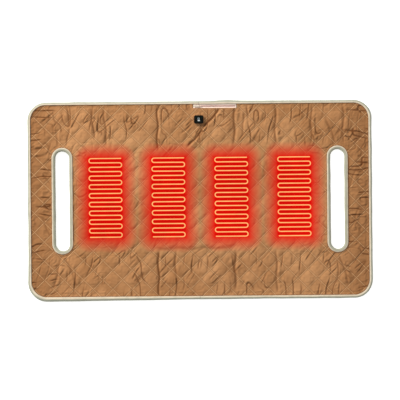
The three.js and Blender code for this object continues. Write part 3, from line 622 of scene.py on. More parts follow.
CREASE_SHARPNESS = 0.72
# Families of fine creases: wave direction, spread, spacing, depth, half width, seed
FINE_CREASES = {
    "ends": (0.0, 0.28, (30, 80), 2.6, 2.5, 41),
    "sides": (math.pi / 2, 0.3, (26, 70), 3.2, 2.5, 42),
    "slant": (-math.pi / 4, 0.22, (40, 110), 1.9, 2.5, 43),
    "loose": (0.9, 1.3, (44, 120), 1.6, 2.5, 44),
}
CLOTH_FRAMES = 18
COVER_THICKNESS = 0.7
WING_CUT = 40.0  # how far beyond the fold a cover's wing piece starts


def crease_depth(x, y):
    """How far the creases pull the cover down."""
    total = np.zeros_like(x)
    for (ax, ay), (bx, by), depth, width, step in CREASES:
        length = math.hypot(bx - ax, by - ay)
        tx, ty = (bx - ax) / length, (by - ay) / length
        along = (x - ax) * tx + (y - ay) * ty
        width = CREASE_SHARPNESS * width
        wander = 2.5 * np.sin(along / 17.0 + ax)
        across = (x - ax) * -ty + (y - ay) * tx + wander
        fade = smooth(along, -12, 22) * smooth(-along, -length - 12, -length + 22)
        total += fade * depth * np.exp(-((across / width) ** 2))
        total -= fade * 0.45 * depth * np.exp(-(((across - 2.1 * width) / (1.3 * width)) ** 2))
        total += fade * step * smooth(-across, -width, width) * np.exp(-((across / 40) ** 2))
    return total


def fine_creases(x, y):
    """Short sharp creases where random fields cross zero: (how deep, how much the fold's lip rises)."""
    edge, slot = edge_distance(x, y), slot_distance(x, y)
    where = {
        "ends": smooth(np.abs(y), 190, 260) * (1 - 0.5 * smooth(np.abs(x), 500, 640)),
        "sides": smooth(np.abs(x), 560, 610),
        "slant": 0.35 + 0.65 * smooth(np.abs(y), 150, 240),
        "loose": 1 - 0.6 * smooth(slot, 60, 120),
    }
    deep, lip = np.zeros_like(x), np.zeros_like(x)
    for key, (turn, spread, lengths, depth, half, seed) in FINE_CREASES.items():
        field = directed(x, y, 9, *lengths, turn, spread, seed)
        slope = np.hypot(*np.gradient(field, FINE.step_x, FINE.step_y)) + 0.012
        away = field / slope
        patch = smooth(waves(x, y, 16, 70, 190, seed + 20), -0.15, 0.7) * where[key]
        deep = np.maximum(deep, patch * depth * np.exp(-((away / half) ** 2)))
        lip += patch * 0.45 * depth * np.exp(-(((away - 2 * half) / (1.2 * half)) ** 2))
    return deep, lip


class Grid:
    """Columns and rows over the whole blanket, with points on every seam."""

    def __init__(self, steps):
        self.step_x, self.step_y = PITCH_X / steps, PITCH_Y / steps
        self.cols = self.span(-HALF_X, HALF_X, ORIGIN_X, self.step_x)
        self.rows = self.span(-HALF_Y, HALF_Y, ORIGIN_Y, self.step_y)
        i, j = np.meshgrid(self.cols, self.rows, indexing="ij")
        self.x, self.y = ORIGIN_X + i * self.step_x, ORIGIN_Y + j * self.step_y
        self.on_seam = ((i + j) % steps == 0) | ((i - j) % steps == 0)

    @staticmethod
    def span(low, high, origin, step):
        return np.arange(math.ceil((low - origin) / step), math.floor((high - origin) / step) + 1)

    def column(self, x):
        """The nearest column to a distance along the blanket."""
        return int(np.argmin(np.abs(self.x[:, 0] - x)))

    def sample(self, values, x, y):
        """Values at any point, by cubic interpolation between the grid's."""
        a = np.clip((x - self.x[0, 0]) / self.step_x, 1, len(self.cols) - 2.001)
        b = np.clip((y - self.y[0, 0]) / self.step_y, 1, len(self.rows) - 2.001)
        i, j = a.astype(int), b.astype(int)
        total = 0
        for di, wi in zip((-1, 0, 1, 2), cubic_weights(a - i)):
            for dj, wj in zip((-1, 0, 1, 2), cubic_weights(b - j)):
                total = total + wi * wj * values[i + di, j + dj]
        return total


def cubic_weights(t):
    """Catmull-Rom weights of the four points round a fraction."""
    return (
        (-t + 2 * t**2 - t**3) / 2,
        (2 - 5 * t**2 + 3 * t**3) / 2,
        (t + 4 * t**2 - 3 * t**3) / 2,
        (-(t**2) + t**3) / 2,
    )


COARSE = Grid(20)  # for the simulation and the back cover
FINE = Grid(30)  # for the front cover


def in_mouth(x, y):
    """Inside the pocket's mouth, which the front cover leaves open."""
    return (x > ZIP_LEFT - 1.5) & (x < ZIP_RIGHT + 1.5) & (y > NOTCH_Y) & (y < HALF_Y)


def cell_mask(grid, front):
    """The grid cells that a cover fills."""
    x = (grid.x[:-1, :-1] + grid.x[1:, 1:]) / 2
    y = (grid.y[:-1, :-1] + grid.y[1:, 1:]) / 2
    keep = (edge_distance(x, y) > COVER_TUCK) & (slot_distance(x, y) > COVER_TUCK)
    if front:
        keep &= ~in_mouth(x, y)
    return keep


def rest_heights(x, y):
    """The sewn cover before it is blown up: low at seams, higher where something lies under it."""
    z = np.full(x.shape, SEAM_Z)
    near_edge = smooth(-edge_distance(x, y), -26, -8) + smooth(-slot_distance(x, y), -26, -10)
    z += 1.1 * np.clip(near_edge, 0, 1)
    z += 1.0 * smooth(-mouth_distance(x, y), -20, -3)
    return z + (FRONT_TOP - 0.5 - SEAM_Z) * smooth(-house_distance(x, y), -14, 0)


def add_cloth(obj, pinned):
    """Slack cloth with pressure under it, held at the pinned points."""
    pins = obj.vertex_groups.new(name="pins")
    pins.add(np.nonzero(pinned)[0].tolist(), 1.0, "REPLACE")
    cloth = obj.modifiers.new("cloth", "CLOTH")
    use = cloth.settings
    use.vertex_group_mass = "pins"
    use.quality = 4
    use.mass = 0.02
    use.tension_stiffness = use.compression_stiffness = 12
    use.shear_stiffness = 4
    use.bending_stiffness = 0.02
    use.shrink_min = -0.035
    use.use_pressure = True
    use.uniform_pressure_force = 1.2
    use.air_damping = 3
    use.effector_weights.gravity = 0
    cloth.collision_settings.use_collision = False


def blow_up(points, faces, pinned):
    """Cloth simulation: pressure lifts the slack cloth between its pinned seams."""
    mesh = bpy.data.meshes.new("blown")
    mesh.from_pydata((points * MM).tolist(), [], faces.tolist())
    obj = bpy.data.objects.new("blown", mesh)
    scene = bpy.context.scene
    scene.collection.objects.link(obj)
    add_cloth(obj, pinned)
    for number in range(1, CLOTH_FRAMES + 1):
        scene.frame_set(number)
    shape = obj.evaluated_get(bpy.context.evaluated_depsgraph_get()).to_mesh()
    out = np.empty(len(points) * 3, np.float32)
    shape.vertices.foreach_get("co", out)
    scene.frame_set(1)
    bpy.data.objects.remove(obj)
    return out.reshape(-1, 3).astype(float) / MM


def quilted_surface():
    """The front cover's outer face over the coarse grid, without the creases."""
    x, y = COARSE.x, COARSE.y
    flat = np.stack([x, y, rest_heights(x, y)], 2)
    edge, slot = edge_distance(x, y), slot_distance(x, y)
    inside = (edge[:-1, :-1] > 1) & (slot[:-1, :-1] > 1)
    faces = quad_faces(inside, np.arange(x.size).reshape(x.shape))
    pinned = COARSE.on_seam | (edge < BINDING + 1) | (slot < SLOT_BINDING + 1)
    pinned |= (house_distance(x, y) < 1) | (mouth_distance(x, y) < 5)
    used = np.zeros(x.size, bool)
    used[faces.ravel()] = True
    renumber = np.cumsum(used) - 1
    out = flat.reshape(-1, 3)
    out[used] = blow_up(out[used], renumber[faces], pinned.ravel()[used])
    return out.reshape(flat.shape)


def front_surface(blown):
    """The front cover's outer face: the blown-up quilting with its creases and unevenness."""
    x, y = FINE.x, FINE.y
    out = np.stack([COARSE.sample(blown[..., k], x, y) for k in range(3)], 2)
    flat = rest_heights(x, y)
    hold = smooth(edge_distance(x, y), 11, 22) * smooth(slot_distance(x, y), 14, 24)
    hold *= smooth(house_distance(x, y), 0, 12) * smooth(mouth_distance(x, y), 3, 16)
    lift = out[..., 2] - flat
    soft = 0.7 + 0.14 * waves(x, y, 24, 60, 260, 3)
    deep, lip = fine_creases(x, y)
    sunk = (crease_depth(x, y) + deep - lip) * hold
    pucker = 0.3 * waves(x, y, 30, 14, 40, 5) * hold
    z = flat + lift * np.clip(soft, 0.45, 1.3) - sunk + pucker
    lowest, margin = SEAM_Z - 0.6, 0.8
    depth = z - lowest
    sinking = margin * np.exp((np.minimum(depth, margin) - margin) / margin)
    out[..., 2] = lowest + np.where(depth > margin, depth, sinking)
    return out


def open_mouth(surface):
    """Moves the grid row nearest the pocket's mouth onto its edge."""
    row = int(np.argmin(np.abs(FINE.y[0] - NOTCH_Y)))
    span = (FINE.x[:, 0] > ZIP_LEFT - 6) & (FINE.x[:, 0] < ZIP_RIGHT + 6)
    surface[span, row, 1] = NOTCH_Y
    return surface


def crease_shade(x, y):
    """The painted shade at the bottoms of the creases and in the ditch beside each binding: how dark each
    point is painted.
    """
    deep, _ = fine_creases(x, y)
    both = np.clip(np.maximum(deep / 2.6, crease_depth(x, y) / 3.4), 0, 1) ** 1.5
    ditch = smooth(-edge_distance(x, y), -16.5, -12.5) + smooth(-slot_distance(x, y), -19, -15.5)
    return np.maximum(both, 0.6 * np.clip(ditch, 0, 1))


def back_surface(blown):
    """The back cover's outer face: the same quilting, pressed flat by the floor."""
    out = np.stack([COARSE.x, COARSE.y, np.zeros_like(COARSE.x)], 2)
    lift = np.clip(blown[..., 2] - rest_heights(COARSE.x, COARSE.y), 0, None)
    floor_gap = 0.12
    out[..., 2] = floor_gap + (BACK_SEAM_Z - floor_gap) * np.exp(-lift / 1.5)
    return out


def point_normals(surface):
    """Each grid point's normal."""
    normal = np.cross(np.gradient(surface, axis=0), np.gradient(surface, axis=1))
    return normal / np.linalg.norm(normal, axis=2, keepdims=True)


def shell(surface, mask, outward):
    """A thin closed sheet under an outer face: (points, faces, normals, grid points used)."""
    size = surface[..., 0].size
    quads = quad_faces(mask, np.arange(size).reshape(surface.shape[:2]))
    used = np.unique(quads)
    renumber = np.zeros(size, int)
    renumber[used] = np.arange(len(used))
    quads = renumber[quads]
    normals = (point_normals(surface) * outward).reshape(-1, 3)[used]
    outer = surface.reshape(-1, 3)[used]
    inner = outer - np.array([0, 0, COVER_THICKNESS * outward])
    faces = close_sheet(quads if outward > 0 else quads[:, ::-1], len(used))
    return np.concatenate([outer, inner]), faces, np.concatenate([normals, -normals]), used


def cross_fold(obj):
    """Bakes a piece's placement into its points; the piece is not bent at the fold."""
    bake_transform(obj)


def add_cover(face, grid, surface, outward, shade):
    """A cover in four pieces that meet without a gap: two on the wings and two across the folds."""
    material = cover_paint(f"{face}_cover_nylon", face == "front")
    mask = cell_mask(grid, face == "front")
    inner_cuts = [grid.column(x) for x in (-FOLD_X - WING_CUT, 0, FOLD_X + WING_CUT)]
    cuts = [0, *inner_cuts, len(grid.cols)]
    for number, name in enumerate(("left_wing", "left", "right", "right_wing")):
        part = np.zeros_like(mask)
        part[cuts[number]:cuts[number + 1]] = mask[cuts[number]:cuts[number + 1]]
        points, faces, normals, used = shell(surface, part, outward)
        shades = {"painted_crease_shade": np.tile(shade.ravel()[used], 2)}
        label = f"{face}_cover_{name}"
        obj = place(label, points, faces, material, attributes=shades, normals=normals)
        side = name.split("_")[0]
        if name.endswith("wing"):
            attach(obj, name)
            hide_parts(f"{side}_{face}_cover")
        else:
            cross_fold(obj)
            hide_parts(f"{side}_{face}_cover", f"centre_{face}_cover")
    return material


BLOWN = quilted_surface()
FRONT = open_mouth(front_surface(BLOWN))


def cover_height(x, y):
    """The front cover's height at a point."""
    return FINE.sample(FRONT[..., 2], x, y)


# ---------- Bindings ----------

# Each profile goes round the tape's section: (inwards from the edge, height), outer face first
EDGE_PROFILE = [
    (12.0, 13.5), (11.9, 14.3), (11.0, 14.9), (9.4, 15.2), (7.6, 15.3), (5.8, 15.2), (4.2, 14.7),
    (2.7, 13.6), (1.4, 11.9), (0.5, 9.8), (0.1, 7.4), (0.4, 5.0), (1.3, 2.9), (2.6, 1.2), (4.2, 0.35),
    (6.2, 0.02), (9.0, 0.0), (11.4, 0.05), (12.0, 0.5), (11.4, 1.1), (6.4, 1.15), (4.4, 1.6),
    (2.6, 3.2), (1.4, 5.4), (1.25, 7.6), (1.6, 9.8), (2.6, 11.6), (4.4, 13.1), (6.4, 13.7), (11.2, 13.6),
]
SLOT_PROFILE = [
    (15.0, 13.2), (14.8, 14.2), (13.6, 14.9), (11.8, 15.2), (9.6, 15.3), (7.2, 15.1), (5.0, 14.6),
    (3.1, 13.5), (1.6, 11.8), (0.6, 9.8), (0.2, 7.4), (0.5, 5.0), (1.4, 2.9), (2.8, 1.2), (4.6, 0.35),
    (7.0, 0.02), (10.5, 0.0), (14.2, 0.05), (15.0, 0.5), (14.2, 1.1), (7.2, 1.15), (4.9, 1.6),
    (2.9, 3.2), (1.6, 5.4), (1.4, 7.6), (1.8, 9.8), (3.0, 11.6), (5.0, 13.1), (7.4, 13.6), (14.0, 13.4),
]
EDGE_INSET = 2.4  # the path of the edge binding, inwards of the outline
BINDING_STITCH = 4.2  # pitch of the stitches along the bindings
THREAD = [(214, 200, 176), (196, 182, 158), (170, 156, 130)]


def outline_path(half_x, half_y, radius, spacing=4.0):
    """Points and outward normals round a rounded rectangle, anticlockwise from the bottom's middle."""
    arc = max(3, int(radius * math.pi / 2 / spacing))
    legs = []

    def straight(a, b, normal):
        count = max(2, int(math.dist(a, b) / spacing))
        t = np.linspace(0, 1, count, endpoint=False)[:, None]
        legs.append((np.array(a) * (1 - t) + np.array(b) * t, np.tile(normal, (count, 1))))

    def turn(cx, cy, start):
        angles = start + np.linspace(0, math.pi / 2, arc, endpoint=False)
        normal = np.stack([np.cos(angles), np.sin(angles)], 1)
        legs.append((np.array([cx, cy]) + radius * normal, normal))

    a, b = half_x - radius, half_y - radius
    straight((0, -half_y), (a, -half_y), (0, -1))
    turn(a, -b, -math.pi / 2)
    straight((half_x, -b), (half_x, b), (1, 0))
    turn(a, b, 0)
    straight((a, half_y), (0, half_y), (0, 1))
    straight((0, half_y), (-a, half_y), (0, 1))
    turn(-a, b, math.pi / 2)
    straight((-half_x, b), (-half_x, -b), (-1, 0))
    turn(-a, -b, math.pi)
    straight((-a, -half_y), (0, -half_y), (0, -1))
    return np.concatenate([p for p, _ in legs]), np.concatenate([n for _, n in legs])


def bulge_out(x, y):
    """The outline's soft outward unevenness."""
    hump = 2.5 * np.exp(-(((x - 110) / 45) ** 2)) * (y > 0)
    flare = 4.0 * smooth(-x, -250, 700) * smooth(-y, 250, 400)
    return 0.2 + 0.5 * waves(x, y, 10, 90, 320, 11).clip(-1.2, 1.2) + hump + flare


def tape_sweep(path, inward, profile, closed, unevenness):
    """A binding: its profile carried along the edge, with puckers, as (points, faces, across)."""
    profile = np.array(profile)
    across = profile[:, 0] / profile[:, 0].max()
    top = (profile[:, 1] > 8)[None, :]
    s = lengths_along(path)[:, None]
    ripple = 0.22 * waves(s + 0 * across, 0 * s + 30 * across, 14, 9, 30, 21)
    bow = 0.35 * waves(path[:, :1] + 0 * across, path[:, 1:] + 0 * across, 10, 40, 150, 23)
    shift = profile[None, :, 0] - unevenness[:, None] * (1 - across)[None, :]
    x = path[:, :1] + inward[:, :1] * shift
    y = path[:, 1:] + inward[:, 1:] * shift
    z = profile[None, :, 1] + np.where(top, ripple + bow, 0) * smooth(profile[None, :, 1], 9, 13)
    points = np.stack([x, y, z], 2).reshape(-1, 3)
    return points, ring_faces(len(path), len(profile), closed), np.tile(across, len(path))


def bead(centre, along, length, width, height):
    """One stitch: a low pointed bead."""
    side = np.array([-along[1], along[0], 0])
    up = np.array([0, 0, height])
    ends = [centre - along * length / 2, centre + along * length / 2]
    mids = [centre + side * width / 2, centre - side * width / 2, centre + up, centre - up]
    faces = [(0, 2, 4), (2, 1, 4), (1, 3, 4), (3, 0, 4), (2, 0, 5), (1, 2, 5), (3, 1, 5), (0, 3, 5)]
    return np.array(ends + mids), faces


def stitch_line(path, heights, pitch, length=3.0, width=0.9, height=0.5):
    """Stitches along a path of (x, y), at the given heights."""
    s = lengths_along(path)
    at = np.arange(pitch / 2, s[-1], pitch)
    points = np.stack([np.interp(at, s, v) for v in (path[:, 0], path[:, 1], heights)], 1)
    ahead = np.stack([np.interp(at + 0.5, s, v) for v in (path[:, 0], path[:, 1])], 1)
    parts = []
    for point, target in zip(points, ahead):
        along = np.append(target - point[:2], 0)
        size = np.linalg.norm(along)
        if size > 1e-6:
            parts.append(bead(point, along / size, length, width, height))
    return join_parts(parts)


def add_edge_bindings(thread_material):
    """The binding and its stitches round each half of the blanket, from the top's middle to the
    bottom's."""
    # tones: the outer side, darker partly as painted shade of its rounded edge; the cream inner side; soft
    # blotches
    tones = [(157, 157, 138), (213, 198, 173), (140, 138, 119)]
    material = binding_paint("binding_tape", tones, 0.46)
    inner = (HALF_X - EDGE_INSET, HALF_Y - EDGE_INSET, CORNER - EDGE_INSET)
    outline, outline_normal = outline_path(*inner)
    half, whole = len(outline) // 2, len(outline)
    profile = [(d - EDGE_INSET, z) for d, z in EDGE_PROFILE]
    for side, order in (("right", range(0, half + 1)), ("left", range(half, whole + 1))):
        chosen = [k % whole for k in order]
        path, normal = outline[chosen], outline_normal[chosen]
        uneven = bulge_out(path[:, 0], path[:, 1]) + 0.9
        points, faces, across = tape_sweep(path, -normal, profile, False, uneven)
        name = f"edge_binding_{side}"
        tape = place(name, points, faces, material, attributes={"across": across})
        cross_fold(tape)
        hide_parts(f"{side}_edge_binding", "top_edge_binding", "bottom_edge_binding")
        rows = stitch_line(path - normal * 8.0, np.full(len(path), 15.1), BINDING_STITCH)
        thread = place(f"edge_stitches_{side}", *rows, thread_material)
        cross_fold(thread)


def add_slot_bindings(thread_material):
    """The binding and its stitches round each hand slot."""
    # tones: the outer side, darker partly as painted shade of its rounded edge; the cream inner side; soft
    # blotches
    tones = [(158, 156, 136), (206, 192, 168), (138, 134, 114)]
    material = binding_paint("slot_binding_tape", tones, 0.7)
    path, normal = outline_path(SLOT_HALF_X, SLOT_HALF_Y, SLOT_HALF_X - 0.01, 3.0)
    for side, sign in (("left", -1), ("right", 1)):
        centre = np.array([sign * SLOT_X, 0.0])
        uneven = 0.4 * waves(path[:, 0] + sign * 300, path[:, 1], 8, 50, 160, 31)
        points, faces, across = tape_sweep(path + centre, normal, SLOT_PROFILE, True, uneven)
        shape = (points, [f[::-1] for f in faces])
        nodes, wing = [f"{side}_slot_binding"], f"{side}_wing"
        more = {"attributes": {"across": across}}
        place_on(wing, "binding_tape", nodes, f"slot_binding_{side}", shape, material, **more)
        line = np.concatenate([path, path[:1]]) + centre
        line += np.concatenate([normal, normal[:1]]) * 13.0
        rows = stitch_line(line, np.full(len(line), 14.9), BINDING_STITCH)
        place_on(wing, "binding_tape", [], f"slot_stitches_{side}", rows, thread_material)


# ---------- Heating wires ----------

FREE_END = 7.0  # how far the two free ends run beyond the straights
WIRE_SECTION = np.array(
    [(-2.9, -0.5), (-2.4, 0.4), (-1.1, 0.95), (0.0, 1.1), (1.1, 0.95), (2.4, 0.4), (2.9, -0.5), (0.0, -0.7)]
)
WIRE_BODIES = ("left_wing", "centre_panel", "centre_panel", "right_wing")


def serpentine(low, high, spacing=3.0):
    """A heater's line: its top row starts at the right, and its last one ends at the left."""
    pitch = (high[1] - low[1] - WIRE) / (HEATER_ROWS - 1)
    reach = FIELD_HALF_X - pitch / 2
    cx, last = (low[0] + high[0]) / 2, HEATER_ROWS - 1
    points = []
    for k in range(HEATER_ROWS):
        y = high[1] - WIRE / 2 - k * pitch
        heading = -1 if k % 2 == 0 else 1
        start = reach + FREE_END * (k == 0)
        stop = reach + FREE_END * (k == last)
        for x in np.linspace(-heading * start, heading * stop, int(2 * reach / spacing)):
            points.append((cx + x, y))
        if k < last:
            for a in np.linspace(0, math.pi, 10)[1:-1]:
                dx, dy = math.sin(a) * pitch / 2, (1 - math.cos(a)) * pitch / 2
                points.append((cx + heading * (reach + dx), y - dy))
    return np.array(points)


def add_wires():
    """The four heaters' glowing lines, laid over the cover's relief."""
    material = wire_paint()
    for number, body in enumerate(WIRE_BODIES, 1):
        line = serpentine(*HEATERS[number - 1])
        ahead = unit(np.gradient(line, axis=0))
        side = np.stack([-ahead[:, 1], ahead[:, 0]], 1)
        x = line[:, :1] + side[:, :1] * WIRE_SECTION[None, :, 0]
        y = line[:, 1:] + side[:, 1:] * WIRE_SECTION[None, :, 0]
        z = cover_height(x, y) + WIRE_SECTION[None, :, 1]
        points = np.stack([x, y, z], 2).reshape(-1, 3)
        faces = [f[::-1] for f in ring_faces(len(line), len(WIRE_SECTION), False)]
        across = np.abs(WIRE_SECTION[:, 0]) / WIRE_SECTION[:, 0].max()
        more = {"attributes": {"across": np.tile(across, len(line))}}
        nodes, name = [f"heating_wire_{number}"], f"glowing_wire_{number}"
        place_on(body, "heating_wire", nodes, name, (points, faces), material, **more)


# ---------- Zip ----------

SLIDER = box("zip_slider")
PULL = box("zip_pull")
PIN_X, PIN_Z = PULL[0][0] + 1.4, PULL[1][2] - 1.4  # the pull's pin on the slider
SLIDER_TOP = COILS[0][1][2] + 0.3
SLIDER_PLATE = 1.2
SLIDER_WAIST = 0.62
PULL_HALF = 0.5  # half the pull's thickness
SLIT_HALF = COILS[1][0][1] - ZIP_Y  # half the gap between the two tapes


def coil(low, high, pitch=1.7, wire=0.36):
    """A zip's coil: one filament wound along X."""
    cy, cz = (low[1] + high[1]) / 2, (low[2] + high[2]) / 2
    ry, rz = (high[1] - low[1]) / 2 - wire, (high[2] - low[2]) / 2 - wire
    turns = (high[0] - low[0] - 2 * wire) / pitch
    angle = np.arange(0, turns * 2 * math.pi, math.pi / 5)
    x = low[0] + wire + angle / (2 * math.pi) * pitch
    path = np.stack([x, cy + ry * np.cos(angle), cz + rz * np.sin(angle)], 1)
    return tube(path, wire, 5)


def tape_strip(y_low, y_high, seed, crown=0.9, thickness=0.6):
    """A zip's tape: a thin woven strip that lies a little unevenly."""
    x = np.arange(ZIP_LEFT, ZIP_RIGHT + 0.1, 2.5)
    gx, gy = np.meshgrid(x, np.linspace(y_low, y_high, 7), indexing="ij")
    t = (gy - y_low) / (y_high - y_low)
    z = ZIP_TAPE[1][2] + crown * np.sin(t * math.pi) + 0.18 * waves(gx, gy * 0.3, 8, 9, 40, seed)
    outer = np.stack([gx, gy, z], 2).reshape(-1, 3)
    cells = np.ones((gx.shape[0] - 1, gx.shape[1] - 1), bool)
    faces = close_sheet(quad_faces(cells, np.arange(gx.size).reshape(gx.shape)), gx.size)
    return np.concatenate([outer, outer - np.array([0, 0, thickness])]), faces


def add_tapes():
    """The zip's two tapes with their coils."""
    tape_tones = [(236, 212, 196), (244, 224, 210), (222, 194, 178)]
    tape_material = cloth_paint("zip_tape", tape_tones, 0.0005, 0.8, 90.0)
    coil_material = hard_paint("zip_coil_nylon", (208, 166, 156), (224, 186, 176), 0.4)
    lower = (NOTCH_Y - 6.0, ZIP_Y - SLIT_HALF, 61)
    upper = (ZIP_Y + SLIT_HALF, HALF_Y - 6.0, 62)
    for name, strip, coil_box in (("lower", lower, COILS[0]), ("upper", upper, COILS[1])):
        body, cloth, teeth = "centre_panel", tape_strip(*strip), coil(*coil_box)
        place_on(body, "zip_tape", [f"zip_tape_{name}"], f"zip_tape_cloth_{name}", cloth, tape_material)
        place_on(body, "zip_coil", [f"zip_coil_{name}"], f"zip_coil_teeth_{name}", teeth, coil_material)


def add_mouth_hem(cover_material, thread_material):
    """The cover's turned edge along the pocket's mouth, and its stitches."""
    x = np.arange(ZIP_LEFT - 2.5, ZIP_RIGHT + 2.6, 3.0)
    y = np.full(len(x), NOTCH_Y - 0.6)
    z = cover_height(x, y - 3) - 0.3 + 0.15 * waves(x, x * 0, 8, 12, 40, 64)
    turns = np.linspace(0, 2 * math.pi, 10, endpoint=False)
    profile = [(0.9 * math.cos(a) * 1.7, 0.9 * math.sin(a)) for a in turns]
    roll = sweep(np.stack([x, y, z], 1), (0, 1, 0), (0, 0, 1), profile)
    more = {"attributes": {"painted_crease_shade": np.zeros(len(roll[0]))}}
    place_on("centre_panel", "cover_fabric", [], "mouth_hem", roll, cover_material, **more)
    line = np.stack([x, np.full(len(x), NOTCH_Y - 3.6)], 1)
    heights = cover_height(line[:, 0], line[:, 1]) + 0.1
    rows = stitch_line(line, heights, 3.6, 2.4, 0.7, 0.35)
    place_on("centre_panel", "binding_tape", [], "mouth_stitches", rows, thread_material)


def slider_outline():
    """A slider plate's outline: wide at the front, narrower behind, with rounded ends."""
    low, high = SLIDER
    cx, cy = (low[0] + high[0]) / 2, (low[1] + high[1]) / 2
    hx, hy = (high[0] - low[0]) / 2, (high[1] - low[1]) / 2
    t = np.linspace(0, 2 * math.pi, 40, endpoint=False)
    x, y = (np.sign(v) * np.abs(v) ** 0.55 for v in (np.cos(t), np.sin(t)))
    narrow = SLIDER_WAIST + (1 - SLIDER_WAIST) * smooth(-x, -0.9, 0.5)
    return np.stack([cx + hx * x, cy + hy * y * narrow], 1)


def slider_plate(z_low, z_high, bevel=0.35):
    """One of the slider's two plates, with rounded-over edges."""
    outline = slider_outline()
    centre = outline.mean(0)
    size = np.abs(outline - centre).max(0)
    lower = [(bevel, z_low), (0.3 * bevel, z_low + 0.3 * bevel), (0, z_low + bevel)]
    upper = [(0, z_high - bevel), (0.3 * bevel, z_high - 0.3 * bevel), (bevel, z_high)]
    rings = []
    for inset, z in lower + upper:
        ring = centre + (outline - centre) * (1 - inset / size)
        rings.append(np.column_stack([ring, np.full(len(ring), z)]))
    return np.concatenate(rings), ring_faces(len(rings), len(outline), False)


def slider_lug(side):
    """One of the two lugs that hold the pull's pin."""
    y, foot, top = ZIP_Y + side * 1.95, SLIDER_TOP + 0.9, SLIDER[1][2]
    half = [(2.2, foot), (1.7, PIN_Z + 0.5), (0.9, top)]
    right = [(PIN_X + dx, z) for dx, z in half]
    left = [(PIN_X - dx, z) for dx, z in half]
    face = np.array([left[0], *right, *left[:0:-1]])
    sheets = [np.column_stack([face[:, 0], np.full(len(face), y + d), face[:, 1]]) for d in (-0.42, 0.42)]
    return np.concatenate(sheets), ring_faces(2, len(face), False)


def add_slider(material):
    """The zip's slider: two plates, the post between them, and the pull's pin in its lugs."""
    bottom = SLIDER[0][2]
    post = [(2.3, 0.42, 0.3, bottom + 0.8), (2.3, 0.42, 0.3, SLIDER_TOP + 0.4)]
    pin = np.stack([np.full(9, PIN_X), np.linspace(ZIP_Y - 2.3, ZIP_Y + 2.3, 9), np.full(9, PIN_Z)], 1)
    parts = [
        slider_plate(SLIDER_TOP, SLIDER_TOP + SLIDER_PLATE),
        slider_plate(bottom, bottom + SLIDER_PLATE),
        loft(((SLIDER[0][0] + SLIDER[1][0]) / 2 - 2.2, ZIP_Y), post),
        slider_lug(-1),
        slider_lug(1),
        tube(pin, 0.48, 12),
    ]
    more = {"smooth_faces": False}
    place_on("zip_slider", "zip_metal", ["zip_slider"], "slider_body", join_parts(parts), material, **more)


def pull_eye(inner=0.72, outer=1.4, half_width=1.15, steps=28):
    """The ring of the pull round its pin, with softened edges."""
    angles = np.linspace(0, 2 * math.pi, steps, endpoint=False)
    mid, half = (inner + outer) / 2, (outer - inner) / 2
    side = np.stack([np.cos(angles), np.zeros(steps), np.sin(angles)], 1)
    path = np.array([PIN_X, ZIP_Y, PIN_Z]) + mid * side
    b = 0.3 * half
    corners = [(half, -half_width + b), (half, half_width - b)]
    corners += [(half - b, half_width), (-half + b, half_width)]
    profile = corners + [(-r, -w) for r, w in corners]
    return sweep(path, side, (0, 1, 0), profile, True)


def pull_plate(bevel=0.22, steps=36):
    """The pull's plate, with a rounded end and a hole in it."""
    x_low, x_high, half_y = PIN_X + 1.3, PULL[1][0], (PULL[1][1] - PULL[0][1]) / 2
    cx, hx = (x_low + x_high) / 2, (x_high - x_low) / 2
    t = np.linspace(0, 2 * math.pi, steps, endpoint=False)
    c, w = np.cos(t), np.sin(t)
    end_x, end_y = np.sign(c) * np.abs(c) ** 0.45, np.sign(w) * np.abs(w) ** 0.6
    outer = np.stack([cx + hx * end_x, ZIP_Y + half_y * end_y], 1)
    inner = np.stack([x_high - 4.2 + 2.4 * c, ZIP_Y + 1.2 * w], 1)
    low, high = PIN_Z - PULL_HALF, PIN_Z + PULL_HALF
    levels = [(1, low), (0, low + bevel), (0, high - bevel), (1, high)]
    rings = []
    for points, sign, order in ((outer, -1, levels), (inner, 1, levels[::-1])):
        away = unit(points - points.mean(0))
        for inset, z in order:
            rings.append(np.column_stack([points + sign * inset * bevel * away, np.full(steps, z)]))
    return np.concatenate(rings), ring_faces(len(rings), steps, True)


def add_pull(material):
    """The zip's pull, with five ribs for the fingers."""
    parts = [pull_eye(), pull_plate()]
    for k in range(5):
        x = PIN_X + 6.0 + k * 1.5
        rib = [(x, y, PIN_Z + PULL_HALF) for y in np.linspace(ZIP_Y - 1.5, ZIP_Y + 1.5, 7)]
        parts.append(tube(rib, 0.28, 6))
    more = {"smooth_faces": False}
    place_on("zip_pull", "zip_metal", ["zip_pull"], "pull_tab", join_parts(parts), material, **more)


# ---------- Controller ----------

CAP_HALF = 10.5
LENS_HALF = (LENS[1][0] - LENS[0][0]) / 2
SIGN_HEIGHT = 0.13


def levels_of(low, high, radius, profile):
    """Rounded rectangles for loft(): profile is (inset, height above the low side)."""
    x, y = ((high - low) / 2)[:2]
    return [(x - inset, y - inset, max(radius - inset, 0.4), low[2] + up) for inset, up in profile]


def square_levels(half, corner, profile):
    """Rounded squares for loft(): profile is (half size beyond half, corner beyond corner, height)."""
    return [(half + grow, half + grow, corner + round_more, z) for grow, round_more, z in profile]


